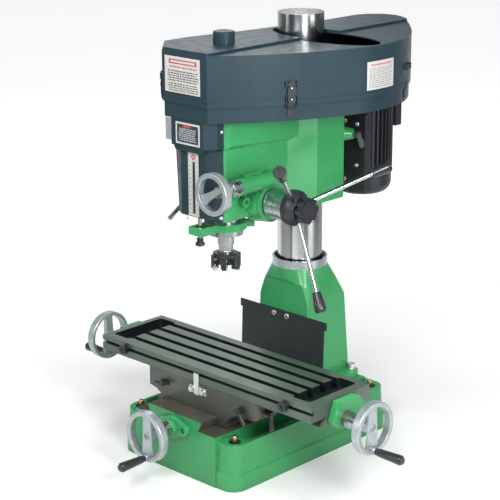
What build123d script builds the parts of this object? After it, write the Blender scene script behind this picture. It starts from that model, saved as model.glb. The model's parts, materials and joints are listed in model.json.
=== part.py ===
"""Round-column bench milling machine: every separate piece is written to parts/NODE.step.

Millimetres. +X is to the operator's right, +Y towards the column, +Z up.
The origin is the middle of the base casting's underside.
"""
import os
from math import atan2, cos, degrees, hypot, pi, radians, sin

from build123d import *

# ---------------------------------------------------------------- driving dimensions
GAP = 0.3                  # space left between pieces that move past each other
RUN = 0.05                 # radial clearance of a shaft in its own bearing

# base casting
BASE_HX = 201.0            # half width
BASE_Y0 = -290.0           # front
BASE_Y1 = 292.0            # back
BASE_R = 38.0              # corner radius in plan
PLINTH_Z = 40.0            # top of the wider foot band
RIM_Z = 115.0              # top of the rim round the chip trays
BLOCK_HX = 140.0           # half width of the central block
SHOULDER_Z = 129.5         # top of the central block beside the ways
WAY_Z = 155.0              # top of the cross-slide ways
WAY_HX = 95.0              # half width of the ways at the top
WAY_NECK = 82.0            # half width of the ways at the root
TRAY_Z = 92.0              # floor of the side chip trays
ANCHOR_X, ANCHOR_Y = 165.0, 250.0

# pedestal, column
COL_Y = 160.0              # column axis
COL_R = 57.5
COL_TOP = 1082.8
RING_R = 71.1
RING_Z0, RING_Z1 = 437.0, 458.5
FLANGE_Z = 148.0
PED_BOLT_X, PED_BOLT_Y0, PED_BOLT_Y1 = 106.0, 104.0, 246.0
PED_FRONT = 98.3           # set-back front face, behind the chip guard
LIP_Z = 400.0              # lip over the set-back front
GUARD_SCREW_X = (-28.0, 16.0)

# saddle and table
SAD_X0, SAD_X1 = -147.0, 218.5
SAD_Y0, SAD_Y1 = -236.0, -40.0
SAD_Z1 = 224.5
TAB_X0, TAB_X1 = -320.0, 399.0
TAB_Y0, TAB_Y1 = -240.0, -33.5
TAB_Z0, TAB_Z1 = 226.0, 264.6
TAB_MID_Y = -137.0
DOVE_Z0 = 204.5            # bottom of the table's dovetail
DOVE_BOT, DOVE_NECK = 65.6, 53.2
SLOT_Y = (-198.6, -153.3, -108.7, -65.3)
SLOT_W, SLOT_WIDE = 16.0, 26.0
TROUGH_Y0, TROUGH_Y1 = -216.0, -50.0
XS_Z = 213.0               # table screw height, on TAB_MID_Y
YS_Z = 122.0               # cross screw height, on x = 0

# handwheels
WHEEL_R = 63.5
FINE_R = 51.0
WHEEL_RIM = 12.0
WHEEL_W = 21.0
GRIP_AT = 54.5             # handle's distance from the wheel axis
XW_RIGHT, XW_LEFT, YW_FRONT = 495.0, -418.0, -381.0

# head
SP_Y = -109.0              # spindle axis
HEAD_Z0, HEAD_Z1 = 617.0, 872.0
TENSION_Y, TENSION_Z = 262.0, 771.0
QUILL_R = 37.5
FEED_Y, FEED_Z = -59.0, 659.0    # quill pinion axis
WORM_X, WORM_Z = 95.0, 712.0     # fine-feed worm axis
WORM_TUBE_Y = -163.0       # front end of the worm's tube
FINE_Y = -243.0            # middle of the fine-feed wheel's rim
COVER_Y = -215.0
MOTOR_Y = 402.0
MOTOR_R = 80.0
IDLER_X, IDLER_Y = 165.0, 140.0

# belt guard
PAN_Z0, PAN_Z1 = 872.3, 922.0
LID_Z0, LID_Z1 = 922.0, 1030.0
BAND_Z = 1036.0
BAND_HX = 70.0
SKIN = 3.0

SIDE = [
    (142, -157), (172, -108), (202, -53), (227, 1), (244, 48), (257, 98), (262.5, 150), (259, 205),
    (247, 258), (226, 305), (199, 347), (166, 388), (110, 450), (52, 502), (5, 518), (-40, 504),
    (-68, 462), (-87, 404), (-97, 350), (-110, 240), (-121, 130), (-135, 40), (-150, -30), (-159, -84),
]
FRONT = [(-159, -152), (-74, -240), (74, -240)]


# ---------------------------------------------------------------- helpers
def box(x0, x1, y0, y1, z0, z1):
    """Axis-aligned block between two corners."""
    return Pos((x0 + x1) / 2, (y0 + y1) / 2, (z0 + z1) / 2) * Box(x1 - x0, y1 - y0, z1 - z0)


def rod(p, q, r, r2=None):
    """Round bar, or a cone when a second radius is given, from p to q."""
    a = Vector(*p)
    d = Vector(*q) - a
    low = (Align.CENTER, Align.CENTER, Align.MIN)
    if r2 is None:
        return Plane(origin=a, z_dir=d) * Cylinder(r, d.length, align=low)
    return Plane(origin=a, z_dir=d) * Cone(r, r2, d.length, align=low)


def prism_z(pts, z0, z1):
    return Pos(0, 0, z0) * extrude(make_face(Polyline(*pts, close=True)), z1 - z0)


def prism_y(pts, y0, y1):
    """Profile of (x, z) points swept from y0 to y1."""
    plane = Plane(origin=(0, y0, 0), x_dir=(1, 0, 0), z_dir=(0, -1, 0))
    return extrude(plane * make_face(Polyline(*pts, close=True)), y0 - y1)


def prism_x(pts, x0, x1):
    """Profile of (y, z) points swept from x0 to x1."""
    plane = Plane(origin=(x0, 0, 0), x_dir=(0, 1, 0), z_dir=(1, 0, 0))
    return extrude(plane * make_face(Polyline(*pts, close=True)), x1 - x0)


def slab(w, d, r, z0, z1, cx=0.0, cy=0.0):
    """Upright block with round corners."""
    return Pos(cx, cy, z0) * extrude(RectangleRounded(w, d, r), z1 - z0)


def mirror_x(pts):
    """Close a right-hand profile with its left-hand copy."""
    return list(pts) + [(-x, y) for x, y in reversed(pts)]


def save(name, *solids):
    shape = solids[0] if len(solids) == 1 else Compound(children=list(solids))
    found = shape.solids()
    if len(solids) == 1 and len(found) > 1:
        raise ValueError(f"{name} came out as {len(found)} solids")
    export_step(shape, f"parts/{name}.step")
    b = shape.bounding_box()
    print(f"{name:22s} {len(found)} {b.min.X:8.1f}{b.max.X:8.1f} {b.min.Y:8.1f}{b.max.Y:8.1f}"
          f" {b.min.Z:8.1f}{b.max.Z:8.1f}")


# ---------------------------------------------------------------- base, pedestal, column
def base_casting():
    mid = (BASE_Y0 + BASE_Y1) / 2
    deep = BASE_Y1 - BASE_Y0
    body = slab(2 * BASE_HX, deep, BASE_R, 0, PLINTH_Z, 0, mid)
    low = Pos(0, mid, PLINTH_Z) * RectangleRounded(2 * BASE_HX, deep, BASE_R)
    step = Pos(0, mid, PLINTH_Z + 5) * RectangleRounded(2 * BASE_HX - 10, deep - 10, BASE_R - 5)
    top = Pos(0, mid, RIM_Z) * RectangleRounded(2 * BASE_HX - 16, deep - 16, BASE_R - 6)
    body += loft([low, step])
    body += loft([step, top])
    # chip trays either side of the central block
    for s in (-1, 1):
        body -= slab(46, deep - 122, 16, TRAY_Z, RIM_Z + 1, s * 161, mid)
    body += box(-BLOCK_HX, BLOCK_HX, BASE_Y0 - 2, 262, 0, SHOULDER_Z)
    way = [(WAY_NECK, SHOULDER_Z - 1), (WAY_NECK, SHOULDER_Z), (WAY_HX, WAY_Z)]
    body += prism_y(mirror_x(way), BASE_Y0 - 2, 60)
    # slot for the cross-screw nut, bore for the screw
    body -= box(-15, 15, -195, 62, 98, WAY_Z + 1)
    body -= rod((0, BASE_Y0 - 5, YS_Z), (0, -190, YS_Z), 11.3)
    # cored underside, with a web left across the middle
    for y0, y1 in ((-262, -18), (18, 262)):
        for s in (-1, 1):
            body -= box(min(s * 14, s * 122), max(s * 14, s * 122), y0, y1, -1, 84)
            body -= box(min(s * 138, s * 180), max(s * 138, s * 180), y0, y1, -1, 74)
    for x in (-ANCHOR_X, ANCHOR_X):
        for y in (-ANCHOR_Y, ANCHOR_Y):
            body += rod((x, y, 0), (x, y, RIM_Z - 9), 17)
            body -= rod((x, y, -1), (x, y, RIM_Z + 5), 6.5)
            body -= rod((x, y, RIM_Z - 9), (x, y, RIM_Z + 9), 16)
    for x in (-PED_BOLT_X, PED_BOLT_X):
        for y in (PED_BOLT_Y0, PED_BOLT_Y1):
            body -= rod((x, y, SHOULDER_Z - 30), (x, y, SHOULDER_Z + 1), 6.5)
    return body


def anchor_bolts():
    """Stud with a hexagon nut, one at each corner."""
    out = []
    seat = RIM_Z - 9
    for x in (-ANCHOR_X, ANCHOR_X):
        for y in (-ANCHOR_Y, ANCHOR_Y):
            stud = rod((x, y, 4), (x, y, seat + 24), 6.2)
            washer = rod((x, y, seat), (x, y, seat + 2.5), 14)
            nut = Pos(x, y, seat + 2.5) * extrude(RegularPolygon(11, 6), 11)
            out.append(stud + washer + nut)
    return out


def pedestal():
    """Bolted stand that carries the column: flange, square trunk with a set-back front, shoulder."""
    body = slab(256, 176, 24, SHOULDER_Z, FLANGE_Z, 0, 174)
    sect = [
        (FLANGE_Z - 1, 184, 164, 10, 174.0), (FLANGE_Z + 14, 184, 164, 12, 174.0),
        (352, 166, 156, 12, 170.0), (396, 154, 142, 30, 163.0),
    ]
    faces = []
    for z, w, d, r, cy in sect:
        faces.append(Pos(0, cy, z) * RectangleRounded(w, d, r))
    for low, high in zip(faces, faces[1:]):
        body += loft([low, high])
    body += loft([faces[-1], Pos(0, COL_Y, RING_Z0) * Circle(RING_R)])
    # front face set back under an arched lip
    arch = ThreePointArc((-110, LIP_Z - 8), (0, LIP_Z + 6), (110, LIP_Z - 8))
    frame_edge = Polyline((110, LIP_Z - 8), (110, FLANGE_Z + 14), (-110, FLANGE_Z + 14), (-110, LIP_Z - 8))
    plane = Plane(origin=(0, PED_FRONT, 0), x_dir=(1, 0, 0), z_dir=(0, -1, 0))
    body -= extrude(plane * make_face(arch + frame_edge), 40)
    # bore for the column, open below it to save metal
    body -= rod((0, COL_Y, 180), (0, COL_Y, RING_Z0 + 1), COL_R)
    body -= slab(120, 108, 20, SHOULDER_Z - 1, 190, 0, 174)
    for x in (-PED_BOLT_X, PED_BOLT_X):
        for y in (PED_BOLT_Y0, PED_BOLT_Y1):
            body -= rod((x, y, SHOULDER_Z - 1), (x, y, FLANGE_Z + 1), 6.5)
            body -= rod((x, y, FLANGE_Z), (x, y, FLANGE_Z + 40), 14)
    for x in GUARD_SCREW_X:
        body -= rod((x, 90, 309), (x, 125, 309), 4)
    return body


def pedestal_bolts():
    out = []
    for x in (-PED_BOLT_X, PED_BOLT_X):
        for y in (PED_BOLT_Y0, PED_BOLT_Y1):
            bolt = rod((x, y, SHOULDER_Z - 26), (x, y, FLANGE_Z + 1), 6.2)
            bolt += rod((x, y, FLANGE_Z), (x, y, FLANGE_Z + 2.5), 13)
            bolt += rod((x, y, FLANGE_Z + 2.5), (x, y, FLANGE_Z + 14.5), 10)
            bolt -= Pos(x, y, FLANGE_Z + 8) * extrude(RegularPolygon(5.6, 6), 8)
            out.append(bolt)
    return out


def column():
    """Ground tube with a closed top."""
    body = rod((0, COL_Y, 180), (0, COL_Y, COL_TOP), COL_R)
    body -= rod((0, COL_Y, 170), (0, COL_Y, COL_TOP - 8), COL_R - 10)
    return body


def column_ring():
    """Collar that carries the foot of the rack."""
    ring = rod((0, COL_Y, RING_Z0), (0, COL_Y, RING_Z1), RING_R)
    ring -= rod((0, COL_Y, RING_Z0 - 1), (0, COL_Y, RING_Z1 + 1), COL_R)
    groove = rod((0, COL_Y, RING_Z0 + 6), (0, COL_Y, RING_Z1 + 1), RING_R - 5)
    return ring - groove


def chip_guard():
    """Flexible sheet with a folded top edge, hung on the pedestal's front."""
    face_y = 98.0
    top = box(-149.5, 149.5, face_y - 4, face_y, 301, 321)
    sheet = prism_x([(face_y - 4, 303), (face_y - 2, 303), (91, 150), (89, 150)], -143, 143)
    guard = top + sheet
    for x in GUARD_SCREW_X:
        guard -= rod((x, 80, 309), (x, 110, 309), 4.2)
    return guard


def y_screw_bracket():
    """Oval flange on the base's front that carries the cross screw."""
    y0 = BASE_Y0 - 2
    plane = Plane(origin=(0, y0, YS_Z), x_dir=(1, 0, 0), z_dir=(0, -1, 0))
    lobes = Circle(27) + Pos(40, 0) * Circle(14.5) + Pos(-40, 0) * Circle(14.5)
    body = extrude(plane * make_hull(lobes.edges()), 13)
    body += rod((0, y0 - 12, YS_Z), (0, y0 - 26, YS_Z), 20)
    body -= rod((0, y0 + 1, YS_Z), (0, y0 - 30, YS_Z), 11 + RUN)
    for s in (-1, 1):
        body -= rod((s * 40, y0 - 14, YS_Z), (s * 40, y0 - 6, YS_Z), 7)
    return body


# ---------------------------------------------------------------- saddle and table
def saddle():
    x0, x1 = SAD_X0, SAD_X1
    leg = 118.0
    prof = [(x1, SAD_Z1), (x1, 178), (leg + 36, 174), (leg + 12, 160), (leg, 140), (leg, SHOULDER_Z + GAP)]
    left = [(-leg, SHOULDER_Z + GAP), (-leg, 150), (-104, 160), (-124, 171), (x0, 175), (x0, SAD_Z1)]
    body = prism_y(prof + left, SAD_Y0, SAD_Y1)
    # female dovetail over the cross ways
    g = GAP * 1.2
    way = [(WAY_NECK + g, SHOULDER_Z - 1), (WAY_NECK + g, SHOULDER_Z), (WAY_HX + g, WAY_Z + GAP)]
    body -= prism_y(mirror_x(way), SAD_Y0 - 1, SAD_Y1 + 1)
    # female dovetail for the table, along X
    m = TAB_MID_Y
    lo, nk = DOVE_BOT + g, DOVE_NECK + g
    prof = [(m - lo, DOVE_Z0 - GAP), (m - nk, TAB_Z0 + 1), (m + nk, TAB_Z0 + 1), (m + lo, DOVE_Z0 - GAP)]
    body -= prism_x(prof, x0 - 1, x1 + 1)
    # nut block for the table screw and nut lug for the cross screw
    body += box(20, 66, m - 10, m + 10, DOVE_Z0 - 2, 222)
    body -= rod((x0, m, XS_Z), (x1, m, XS_Z), 8.5 + RUN)
    body += box(-13, 13, -120, -80, 106, WAY_Z + 4)
    body -= rod((0, -130, YS_Z), (0, -70, YS_Z), 8.5 + RUN)
    # lock-screw bores: front face for the table, right end for the saddle
    for x in (-90, 176):
        body -= rod((x, SAD_Y0 - 1, 196), (x, SAD_Y0 + 26, 196), 5 + RUN)
    body -= rod((x1 + 1, -196, 190), (x1 - 24, -196, 190), 5 + RUN)
    return body


def centre_stop():
    """Fixed stop plate on the saddle's front, between the two table stops."""
    y1 = SAD_Y0
    plate = box(19, 36, y1 - 7.5, y1, 196, 224)
    plate += box(19, 36, y1 - 7.5, y1 - 4.4, 222, 251)
    plate += box(2, 58, y1 - 5, y1, 198, 216)
    for x in (11, 49):
        plate += rod((x, y1 - 5, 207), (x, y1 - 12, 207), 7)
    return plate


def t_lever(x, y, z, tilt, length):
    """Lock screw along Y with a cross bar."""
    body = rod((x, y + 22, z), (x, y - 12, z), 5)
    body += rod((x, y - 4, z), (x, y - 16, z), 7.5)
    dx, dz = cos(radians(tilt)) * length / 2, sin(radians(tilt)) * length / 2
    body += rod((x - dx, y - 11, z - dz), (x + dx, y - 11, z + dz), 3)
    return body


def table_locks():
    left = t_lever(-90, SAD_Y0 - GAP, 196, 8, 48)
    x, y, z = 176, SAD_Y0 - GAP, 196
    right = rod((x, y + 22, z), (x, y - 14, z), 5)
    right += rod((x, y - 4, z), (x, y - 17, z), 8)
    right += rod((x - 6, y - 11, z + 4), (x + 20, y - 13, z - 30), 5, 6.5)
    return left, right


def saddle_lock():
    """Lock screw in the saddle's right end with a hanging lever."""
    x, y, z = SAD_X1 + GAP, -196, 190
    body = rod((x - 22, y, z), (x + 18, y, z), 5)
    body += rod((x + 3, y, z), (x + 20, y, z), 7)
    body += rod((x + 14, y, z), (x + 16, y, z - 42), 4, 6)
    return body


def table():
    m = TAB_MID_Y
    body = box(TAB_X0, TAB_X1, TAB_Y0, TAB_Y1, TAB_Z0, TAB_Z1)
    prof = [(m - DOVE_BOT, DOVE_Z0), (m + DOVE_BOT, DOVE_Z0), (m + DOVE_NECK, TAB_Z0 + 1),
            (m - DOVE_NECK, TAB_Z0 + 1)]
    body += prism_x(prof, TAB_X0, TAB_X1)
    body -= box(TAB_X0 - 1, TAB_X1 + 1, m - 11.5, m + 11.5, DOVE_Z0 - 1, 224.5)
    # coolant troughs at both ends, T-slots between them
    x0, x1 = TAB_X0 + 16, TAB_X0 + 73
    x2, x3 = TAB_X1 - 82, TAB_X1 - 26
    for a, b in ((x0, x1), (x2, x3)):
        body -= slab(b - a, TROUGH_Y1 - TROUGH_Y0, 8, 243, TAB_Z1 + 1, (a + b) / 2,
                     (TROUGH_Y0 + TROUGH_Y1) / 2)
    for y in SLOT_Y:
        body -= box(x1 - 4, x2 + 4, y - SLOT_W / 2, y + SLOT_W / 2, 243, TAB_Z1 + 1)
        body -= box(x1 - 4, x2 + 4, y - SLOT_WIDE / 2, y + SLOT_WIDE / 2, 237, 248)
    # groove along the front for the stops
    body -= box(TAB_X0 - 1, TAB_X1 + 1, TAB_Y0 - 1, TAB_Y0 + 5, 244.5, 252.5)
    body -= box(TAB_X0 - 1, TAB_X1 + 1, TAB_Y0 + 5, TAB_Y0 + 10, 241, 256)
    return body


def table_brackets():
    """Screw bearings bolted to the table's ends."""
    out = []
    m = TAB_MID_Y
    prof = [(-182, 214), (-164, 262), (-100, 262), (-88, 256),
            (-69, 229), (-69, 214), (-92, 196), (-160, 196)]
    for x, s, thick, nose in ((TAB_X1, 1, 18, 29), (TAB_X0, -1, 18, 26)):
        a, b = sorted((x, x + s * thick))
        body = prism_x(prof, a, b)
        body += rod((x + s * thick, m, XS_Z), (x + s * nose, m, XS_Z), 20)
        body -= rod((x - s, m, XS_Z), (x + s * 40, m, XS_Z), 10 + RUN)
        out.append(body)
    return out


def table_stop(x):
    """Block in the table's front groove with a round knob."""
    y = TAB_Y0
    body = box(x - 9, x + 9, y + 5.4, y + 9.6, 241.6, 255.4)
    body += box(x - 5, x + 5, y - 2, y + 6, 245, 252)
    body += rod((x, y - GAP, 248.5), (x, y - 13, 248.5), 12)
    body -= Pos(x, y - 13.5, 248.5) * (Rot(90, 0, 0) * Cylinder(4, 8))
    return body


# ---------------------------------------------------------------- handwheels
def handwheel(shaft_r, back, r=WHEEL_R, grip=True, dial_r=19.0, dial_len=27.0):
    """Two-armed wheel on local +Z, rim centred on z = 0, hub running back to z = -back."""
    w = WHEEL_W
    rim = Cylinder(r, w) - Cylinder(r - WHEEL_RIM, w + 2)
    rim = chamfer(rim.edges().filter_by(GeomType.CIRCLE), 2.4)
    arm = [(-17, -r + 4), (17, -r + 4), (10, r - 4), (-10, r - 4)]
    web = Pos(0, 0, -4) * extrude(make_face(Polyline(*arm, close=True)), 8)
    body = rim + web
    body += rod((0, 0, -back), (0, 0, -back + dial_len), dial_r)
    body += rod((0, 0, -back), (0, 0, 9), 14.5)
    if grip:
        body += rod((0, -GRIP_AT, -6), (0, -GRIP_AT, 12), 9)
        body += rod((0, -GRIP_AT, 10), (0, -GRIP_AT, 86), 4.5)
    body -= rod((0, 0, -back - 1), (0, 0, 10), shaft_r)
    return body


def grip():
    """Tapered revolving handle on its pin, local +Z."""
    body = rod((0, -GRIP_AT, 12.3), (0, -GRIP_AT, 24), 7.5, 9.5)
    body += rod((0, -GRIP_AT, 24), (0, -GRIP_AT, 84), 9.5, 12)
    body += rod((0, -GRIP_AT, 84), (0, -GRIP_AT, 90), 12, 8)
    body -= rod((0, -GRIP_AT, 10), (0, -GRIP_AT, 87), 4.5 + RUN)
    return body


RIGHT = Plane(origin=(XW_RIGHT, TAB_MID_Y, XS_Z), x_dir=(0, 1, 0), z_dir=(1, 0, 0))
LEFT = Plane(origin=(XW_LEFT, TAB_MID_Y, XS_Z), x_dir=(0, -1, 0), z_dir=(-1, 0, 0))
FRONT_W = Plane(origin=(0, YW_FRONT, YS_Z), x_dir=(1, 0, 0), z_dir=(0, -1, 0))
# the fine-feed wheel rests with its arms 31 degrees above level
FINE_W = Plane(origin=(WORM_X, FINE_Y, WORM_Z), x_dir=(0.515, 0, -0.857), z_dir=(0, -1, 0))


def x_leadscrew():
    m, z = TAB_MID_Y, XS_Z
    body = rod((-418, m, z), (495, m, z), 8)
    body += rod((-345.5, m, z), (-319, m, z), 10)
    body += rod((398, m, z), (427.5, m, z), 10)
    body += rod((-431, m, z), (-427, m, z), 11) + rod((504, m, z), (508, m, z), 11)
    body += rod((-427, m, z), (-400, m, z), 7) + rod((480, m, z), (504, m, z), 7)
    return body


def x_handwheels():
    right = RIGHT * handwheel(8, XW_RIGHT - (TAB_X1 + 29.3))
    left = LEFT * handwheel(8, -XW_LEFT + TAB_X0 - 26.3)
    return right, left


def y_leadscrew():
    body = rod((0, YW_FRONT, YS_Z), (0, 40, YS_Z), 8)
    body += rod((0, -292, YS_Z), (0, -317.5, YS_Z), 11)
    body += rod((0, YW_FRONT - 9, YS_Z), (0, YW_FRONT - 13, YS_Z), 11)
    body += rod((0, YW_FRONT + 9, YS_Z), (0, YW_FRONT - 9, YS_Z), 7)
    return body


# ---------------------------------------------------------------- head
def raised_panel(side):
    """Thicker upper part of the nose, bevelled in front and below, with a round rear lower corner."""
    plane = Plane(origin=(side * 64, 0, 0), x_dir=(0, side, 0), z_dir=(side, 0, 0))
    y0, y1, low = -188.0, 92.0, 779.0
    pts = [(y0, 900), (y0, low + 16), (y1, low), (y1, 900)]
    panel = make_face(Polyline([(side * y, z) for y, z in pts], close=True))
    corner = panel.vertices().sort_by(Axis.Y)[:2].sort_by(Axis.X)[0 if side < 0 else -1]
    panel = fillet(corner, 34)
    return extrude(plane * panel, 16, taper=45) & box(-90, 90, -182, 100, 700, HEAD_Z1)


def head_casting():
    plan = [(66, -182), (70, -176), (70, 36), (96, 116), (96, 216), (72, 245)]
    body = prism_z(mirror_x(plan), HEAD_Z0 + 8, HEAD_Z1)
    rear = [(70, 10), (70, 36), (96, 116), (96, 216), (72, 245)]
    body += prism_z(mirror_x(rear), HEAD_Z0, HEAD_Z0 + 9)
    body += raised_panel(1) + raised_panel(-1)
    # feed boss, worm tube and pads on the right side
    body += rod((60, FEED_Y, FEED_Z), (98, FEED_Y, FEED_Z), 54, 49)
    body += rod((60, FEED_Y, FEED_Z), (110, FEED_Y, FEED_Z), 48)
    body += rod((WORM_X, WORM_TUBE_Y, WORM_Z), (WORM_X, -30, WORM_Z), 20)
    body += box(60, 90, -128, -45, 690, WORM_Z + 8)
    body += box(60, 88, -130, -78, WORM_Z, WORM_Z + 24)
    body += rod((60, -126, 668), (88, -126, 668), 12)
    # left-side bosses: quill lock and return-spring drum
    body += rod((-60, -146, 652), (-84, -146, 652), 18)
    body += rod((-60, FEED_Y, FEED_Z), (-96, FEED_Y, FEED_Z), 44)
    # elevating gearbox at the back, split lugs for the column clamp
    body += box(-46, 30, 240, 272, 700, 790)
    body += box(-112, -60, 222, 262, 724, 766)
    body += rod((66, TENSION_Y - 14, TENSION_Z), (88, TENSION_Y + 2, TENSION_Z), 19, 13)
    body += box(-92, -48, 238, 282, 796, 828)
    # bores
    body -= rod((0, COL_Y, HEAD_Z0 - 1), (0, COL_Y, HEAD_Z1 + 1), COL_R + RUN)
    body -= box(-11.5, 11.5, COL_Y + 40, 231, HEAD_Z0 - 1, HEAD_Z1 + 1)
    body -= rod((0, SP_Y, HEAD_Z0 - 1), (0, SP_Y, 846), QUILL_R + RUN)
    body -= rod((0, SP_Y, 840), (0, SP_Y, HEAD_Z1 + 1), 26 + RUN)
    body -= rod((-90, FEED_Y, FEED_Z), (111, FEED_Y, FEED_Z), 12 + RUN)
    body -= rod((-12.5, FEED_Y, FEED_Z), (12.5, FEED_Y, FEED_Z), 12.6)
    body -= rod((WORM_X, WORM_TUBE_Y - 1, WORM_Z), (WORM_X, -60, WORM_Z), 8 + RUN)
    body -= rod((-38, -146, 652), (-85, -146, 652), 7 + RUN)
    # pinion bore for the elevating crank
    body -= rod((-113, 243, 745), (20, 243, 745), 9 + RUN)
    body -= rod((-14, 243, 745), (14, 243, 745), 14.4)
    # rod bores of the motor slide
    body -= rod((70, 236, 770), (70, 284, 770), 8 + RUN)
    body -= rod((-70, 236, 812), (-70, 284, 812), 8 + RUN)
    body -= rod((76, TENSION_Y, TENSION_Z), (93, TENSION_Y, TENSION_Z), 5 + RUN)
    body -= rod((92, TENSION_Y, TENSION_Z), (104, TENSION_Y, TENSION_Z), 16)
    # socket of the feed clamp screw
    body -= rod((81, -126, 668), (89, -126, 668), 5)
    # cored pocket between the quill and the column
    body -= slab(104, 96, 14, 706, HEAD_Z1 + 1, 0, 28)
    return body


def front_cover():
    """Hollow cover over the quill's depth rod, with a name-plate block on top."""
    foot = [(68, -182.3), (42, COVER_Y), (-42, COVER_Y), (-63, -203), (-66, -182.3)]
    top = [(68, -182.3), (42, COVER_Y), (-42, COVER_Y), (-77, -198), (-79, -182.3)]
    faces = [Pos(0, 0, z) * make_face(Polyline(*pts, close=True)) for z, pts in ((634, foot), (800, top))]
    body = loft(faces, ruled=True)
    body += prism_z(mirror_x([(64, -182.3), (36, -207)]), 622, 635)
    upper = [(70, -182.3), (72, -206), (54, -233)]
    body += prism_z(mirror_x(upper), 806, HEAD_Z1 - 0.5)
    hip = prism_y(mirror_x([(46, 794), (54, 808)]), -228, -182.3)
    body += hip
    inner = [(60, -181), (37, COVER_Y + 4)]
    body -= prism_z(mirror_x(inner), 615, 806)
    body -= prism_z(mirror_x([(64, -181), (66, -204), (50, -228)]), 805, HEAD_Z1 - 4)
    body -= box(-1.5, 5.5, COVER_Y - 2, COVER_Y + 8, 640, 784)
    return body


def switch_box():
    body = box(-103, -80.3, -206, -116, 804, 866)
    body = fillet(body.edges().filter_by(Axis.X), 6)
    body += rod((-103, -184, 846), (-107, -184, 846), 9) + rod((-103, -148, 846), (-107, -148, 846), 9)
    return body


def quill_lock():
    """Clamp screw on the left of the quill with a hand lever."""
    body = rod((-40, -146, 652), (-84.3, -146, 652), 7)
    body += rod((-84.3, -146, 652), (-100, -146, 652), 11)
    body += rod((-93, -146, 652), (-97, -206, 608), 4.5, 6)
    return body


def column_rack():
    """Toothed bar that swings round the column with the head."""
    body = box(-11, 11, COL_Y + COL_R - 1.0, 230, RING_Z1 + GAP, 1060)
    body -= rod((0, COL_Y, RING_Z0), (0, COL_Y, 1070), COL_R + GAP)
    pitch = 2 * pi * 14 / 20
    z = 470.0
    while z < 1050:
        body -= prism_x([(231, z), (231, z + 2.9), (227.2, z + 2.0), (227.2, z + 0.9)], -12, 12)
        z += pitch * 4
    return body


def elevating_crank():
    """Pinion shaft, arm and handle on the head's left side."""
    body = rod((-11, 243, 745), (11, 243, 745), 12.2)
    body += rod((-134, 243, 745), (16, 243, 745), 9)
    body += rod((-112.3, 243, 745), (-134, 243, 745), 13)
    body += rod((-128, 243, 745), (-134, 243, 625), 7)
    body += rod((-130, 243, 632), (-206, 243, 632), 6, 9)
    return body


# ---------------------------------------------------------------- quill and spindle
def quill():
    """Sleeve with a rack cut in its back and a flanged foot."""
    body = rod((0, SP_Y, 585), (0, SP_Y, 835), QUILL_R)
    body += rod((0, SP_Y, 571), (0, SP_Y, 586), 43)
    body -= rod((0, SP_Y, 570), (0, SP_Y, 836), 21 + RUN)
    pitch = 2 * pi * 15 / 20
    for k in range(-28, 7):
        z = FEED_Z + (k + 0.5) * pitch + 127 * 0.42
        if 612 < z < 828:
            body -= box(-11, 11, SP_Y + 34, SP_Y + 40, z - 1.25, z + 1.25)
    return body


def depth_stop_bracket():
    """Clamp on the quill's foot with an arm forward to the depth rod."""
    body = rod((0, SP_Y, 586.3), (0, SP_Y, 604), 52)
    body += box(-22, 22, -213, SP_Y, 586.3, 606)
    ear = (Pos(0, SP_Y, 0) * Rot(0, 0, 52)) * box(40, 70, -9, 9, 588, 604)
    split = (Pos(0, SP_Y, 0) * Rot(0, 0, 52)) * box(34, 76, -1.5, 1.5, 580, 610)
    body += ear
    body -= rod((0, SP_Y, 580), (0, SP_Y, 610), QUILL_R)
    body -= split
    body -= box(-16, 16, -208, -172, 595, 607)
    body -= rod((0, -196, 580), (0, -196, 610), 5)
    return body


def depth_stop_rod():
    body = rod((0, -196, 580), (0, -196, 782), 5)
    body += rod((0, -196, 556), (0, -196, 586.3), 4)
    body += rod((0, -196, 595), (0, -196, 603), 8)
    body += box(-1.0, 5.0, -209, -196, 770, 778)
    return body


def depth_stop_knob():
    body = rod((0, -196, 560), (0, -196, 566), 11.5) + rod((0, -196, 566), (0, -196, 578), 8)
    body -= rod((0, -196, 559), (0, -196, 579), 4 + RUN)
    return body


def spindle():
    body = rod((0, SP_Y, 545), (0, SP_Y, 836), 21)
    body += rod((0, SP_Y, 835), (0, SP_Y, 1028), 15)
    body += rod((0, SP_Y, 566), (0, SP_Y, 570.7), 27)
    body -= rod((0, SP_Y, 540), (0, SP_Y, 1030), 7)
    for k in range(6):
        a = radians(60 * k)
        x, y = 14.6 * cos(a), SP_Y + 14.6 * sin(a)
        body -= rod((x, y, 838), (x, y, 1030), 1.6)
    return body


def drawbar():
    body = rod((0, SP_Y, 530), (0, SP_Y, 1030), 6.5)
    body += Pos(0, SP_Y, 1028) * extrude(RegularPolygon(12, 6), 16)
    return body


def face_mill():
    """Indexable face mill on a short arbor."""
    body = rod((0, SP_Y, 493), (0, SP_Y, 524), 37)
    body += rod((0, SP_Y, 523), (0, SP_Y, 545), 19)
    body -= rod((0, SP_Y, 490), (0, SP_Y, 502), 17)
    body -= rod((0, SP_Y, 530), (0, SP_Y, 546), 6.5)
    for k in range(6):
        a = 60 * k + 14
        pocket = Rot(0, 0, a) * box(22, 40, 2, 15, 492, 512)
        tooth = Rot(0, 0, a) * box(27, 40, -9, 1.5, 480, 516)
        body -= Pos(0, SP_Y, 0) * pocket
        body += Pos(0, SP_Y, 0) * tooth
    return body


# ---------------------------------------------------------------- quill feed
def pinion_shaft():
    """Pinion, shaft and the bright graduated drum outside the head."""
    y, z = FEED_Y, FEED_Z
    body = rod((-88, y, z), (112, y, z), 12)
    body += rod((-12, y, z), (12, y, z), 12.2)
    body += rod((112, y, z), (204, y, z), 10) + rod((204, y, z), (219, y, z), 6)
    body += rod((110.3, y, z), (165, y, z), 37.5)
    body += rod((165, y, z), (173, y, z), 41)
    return body


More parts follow.
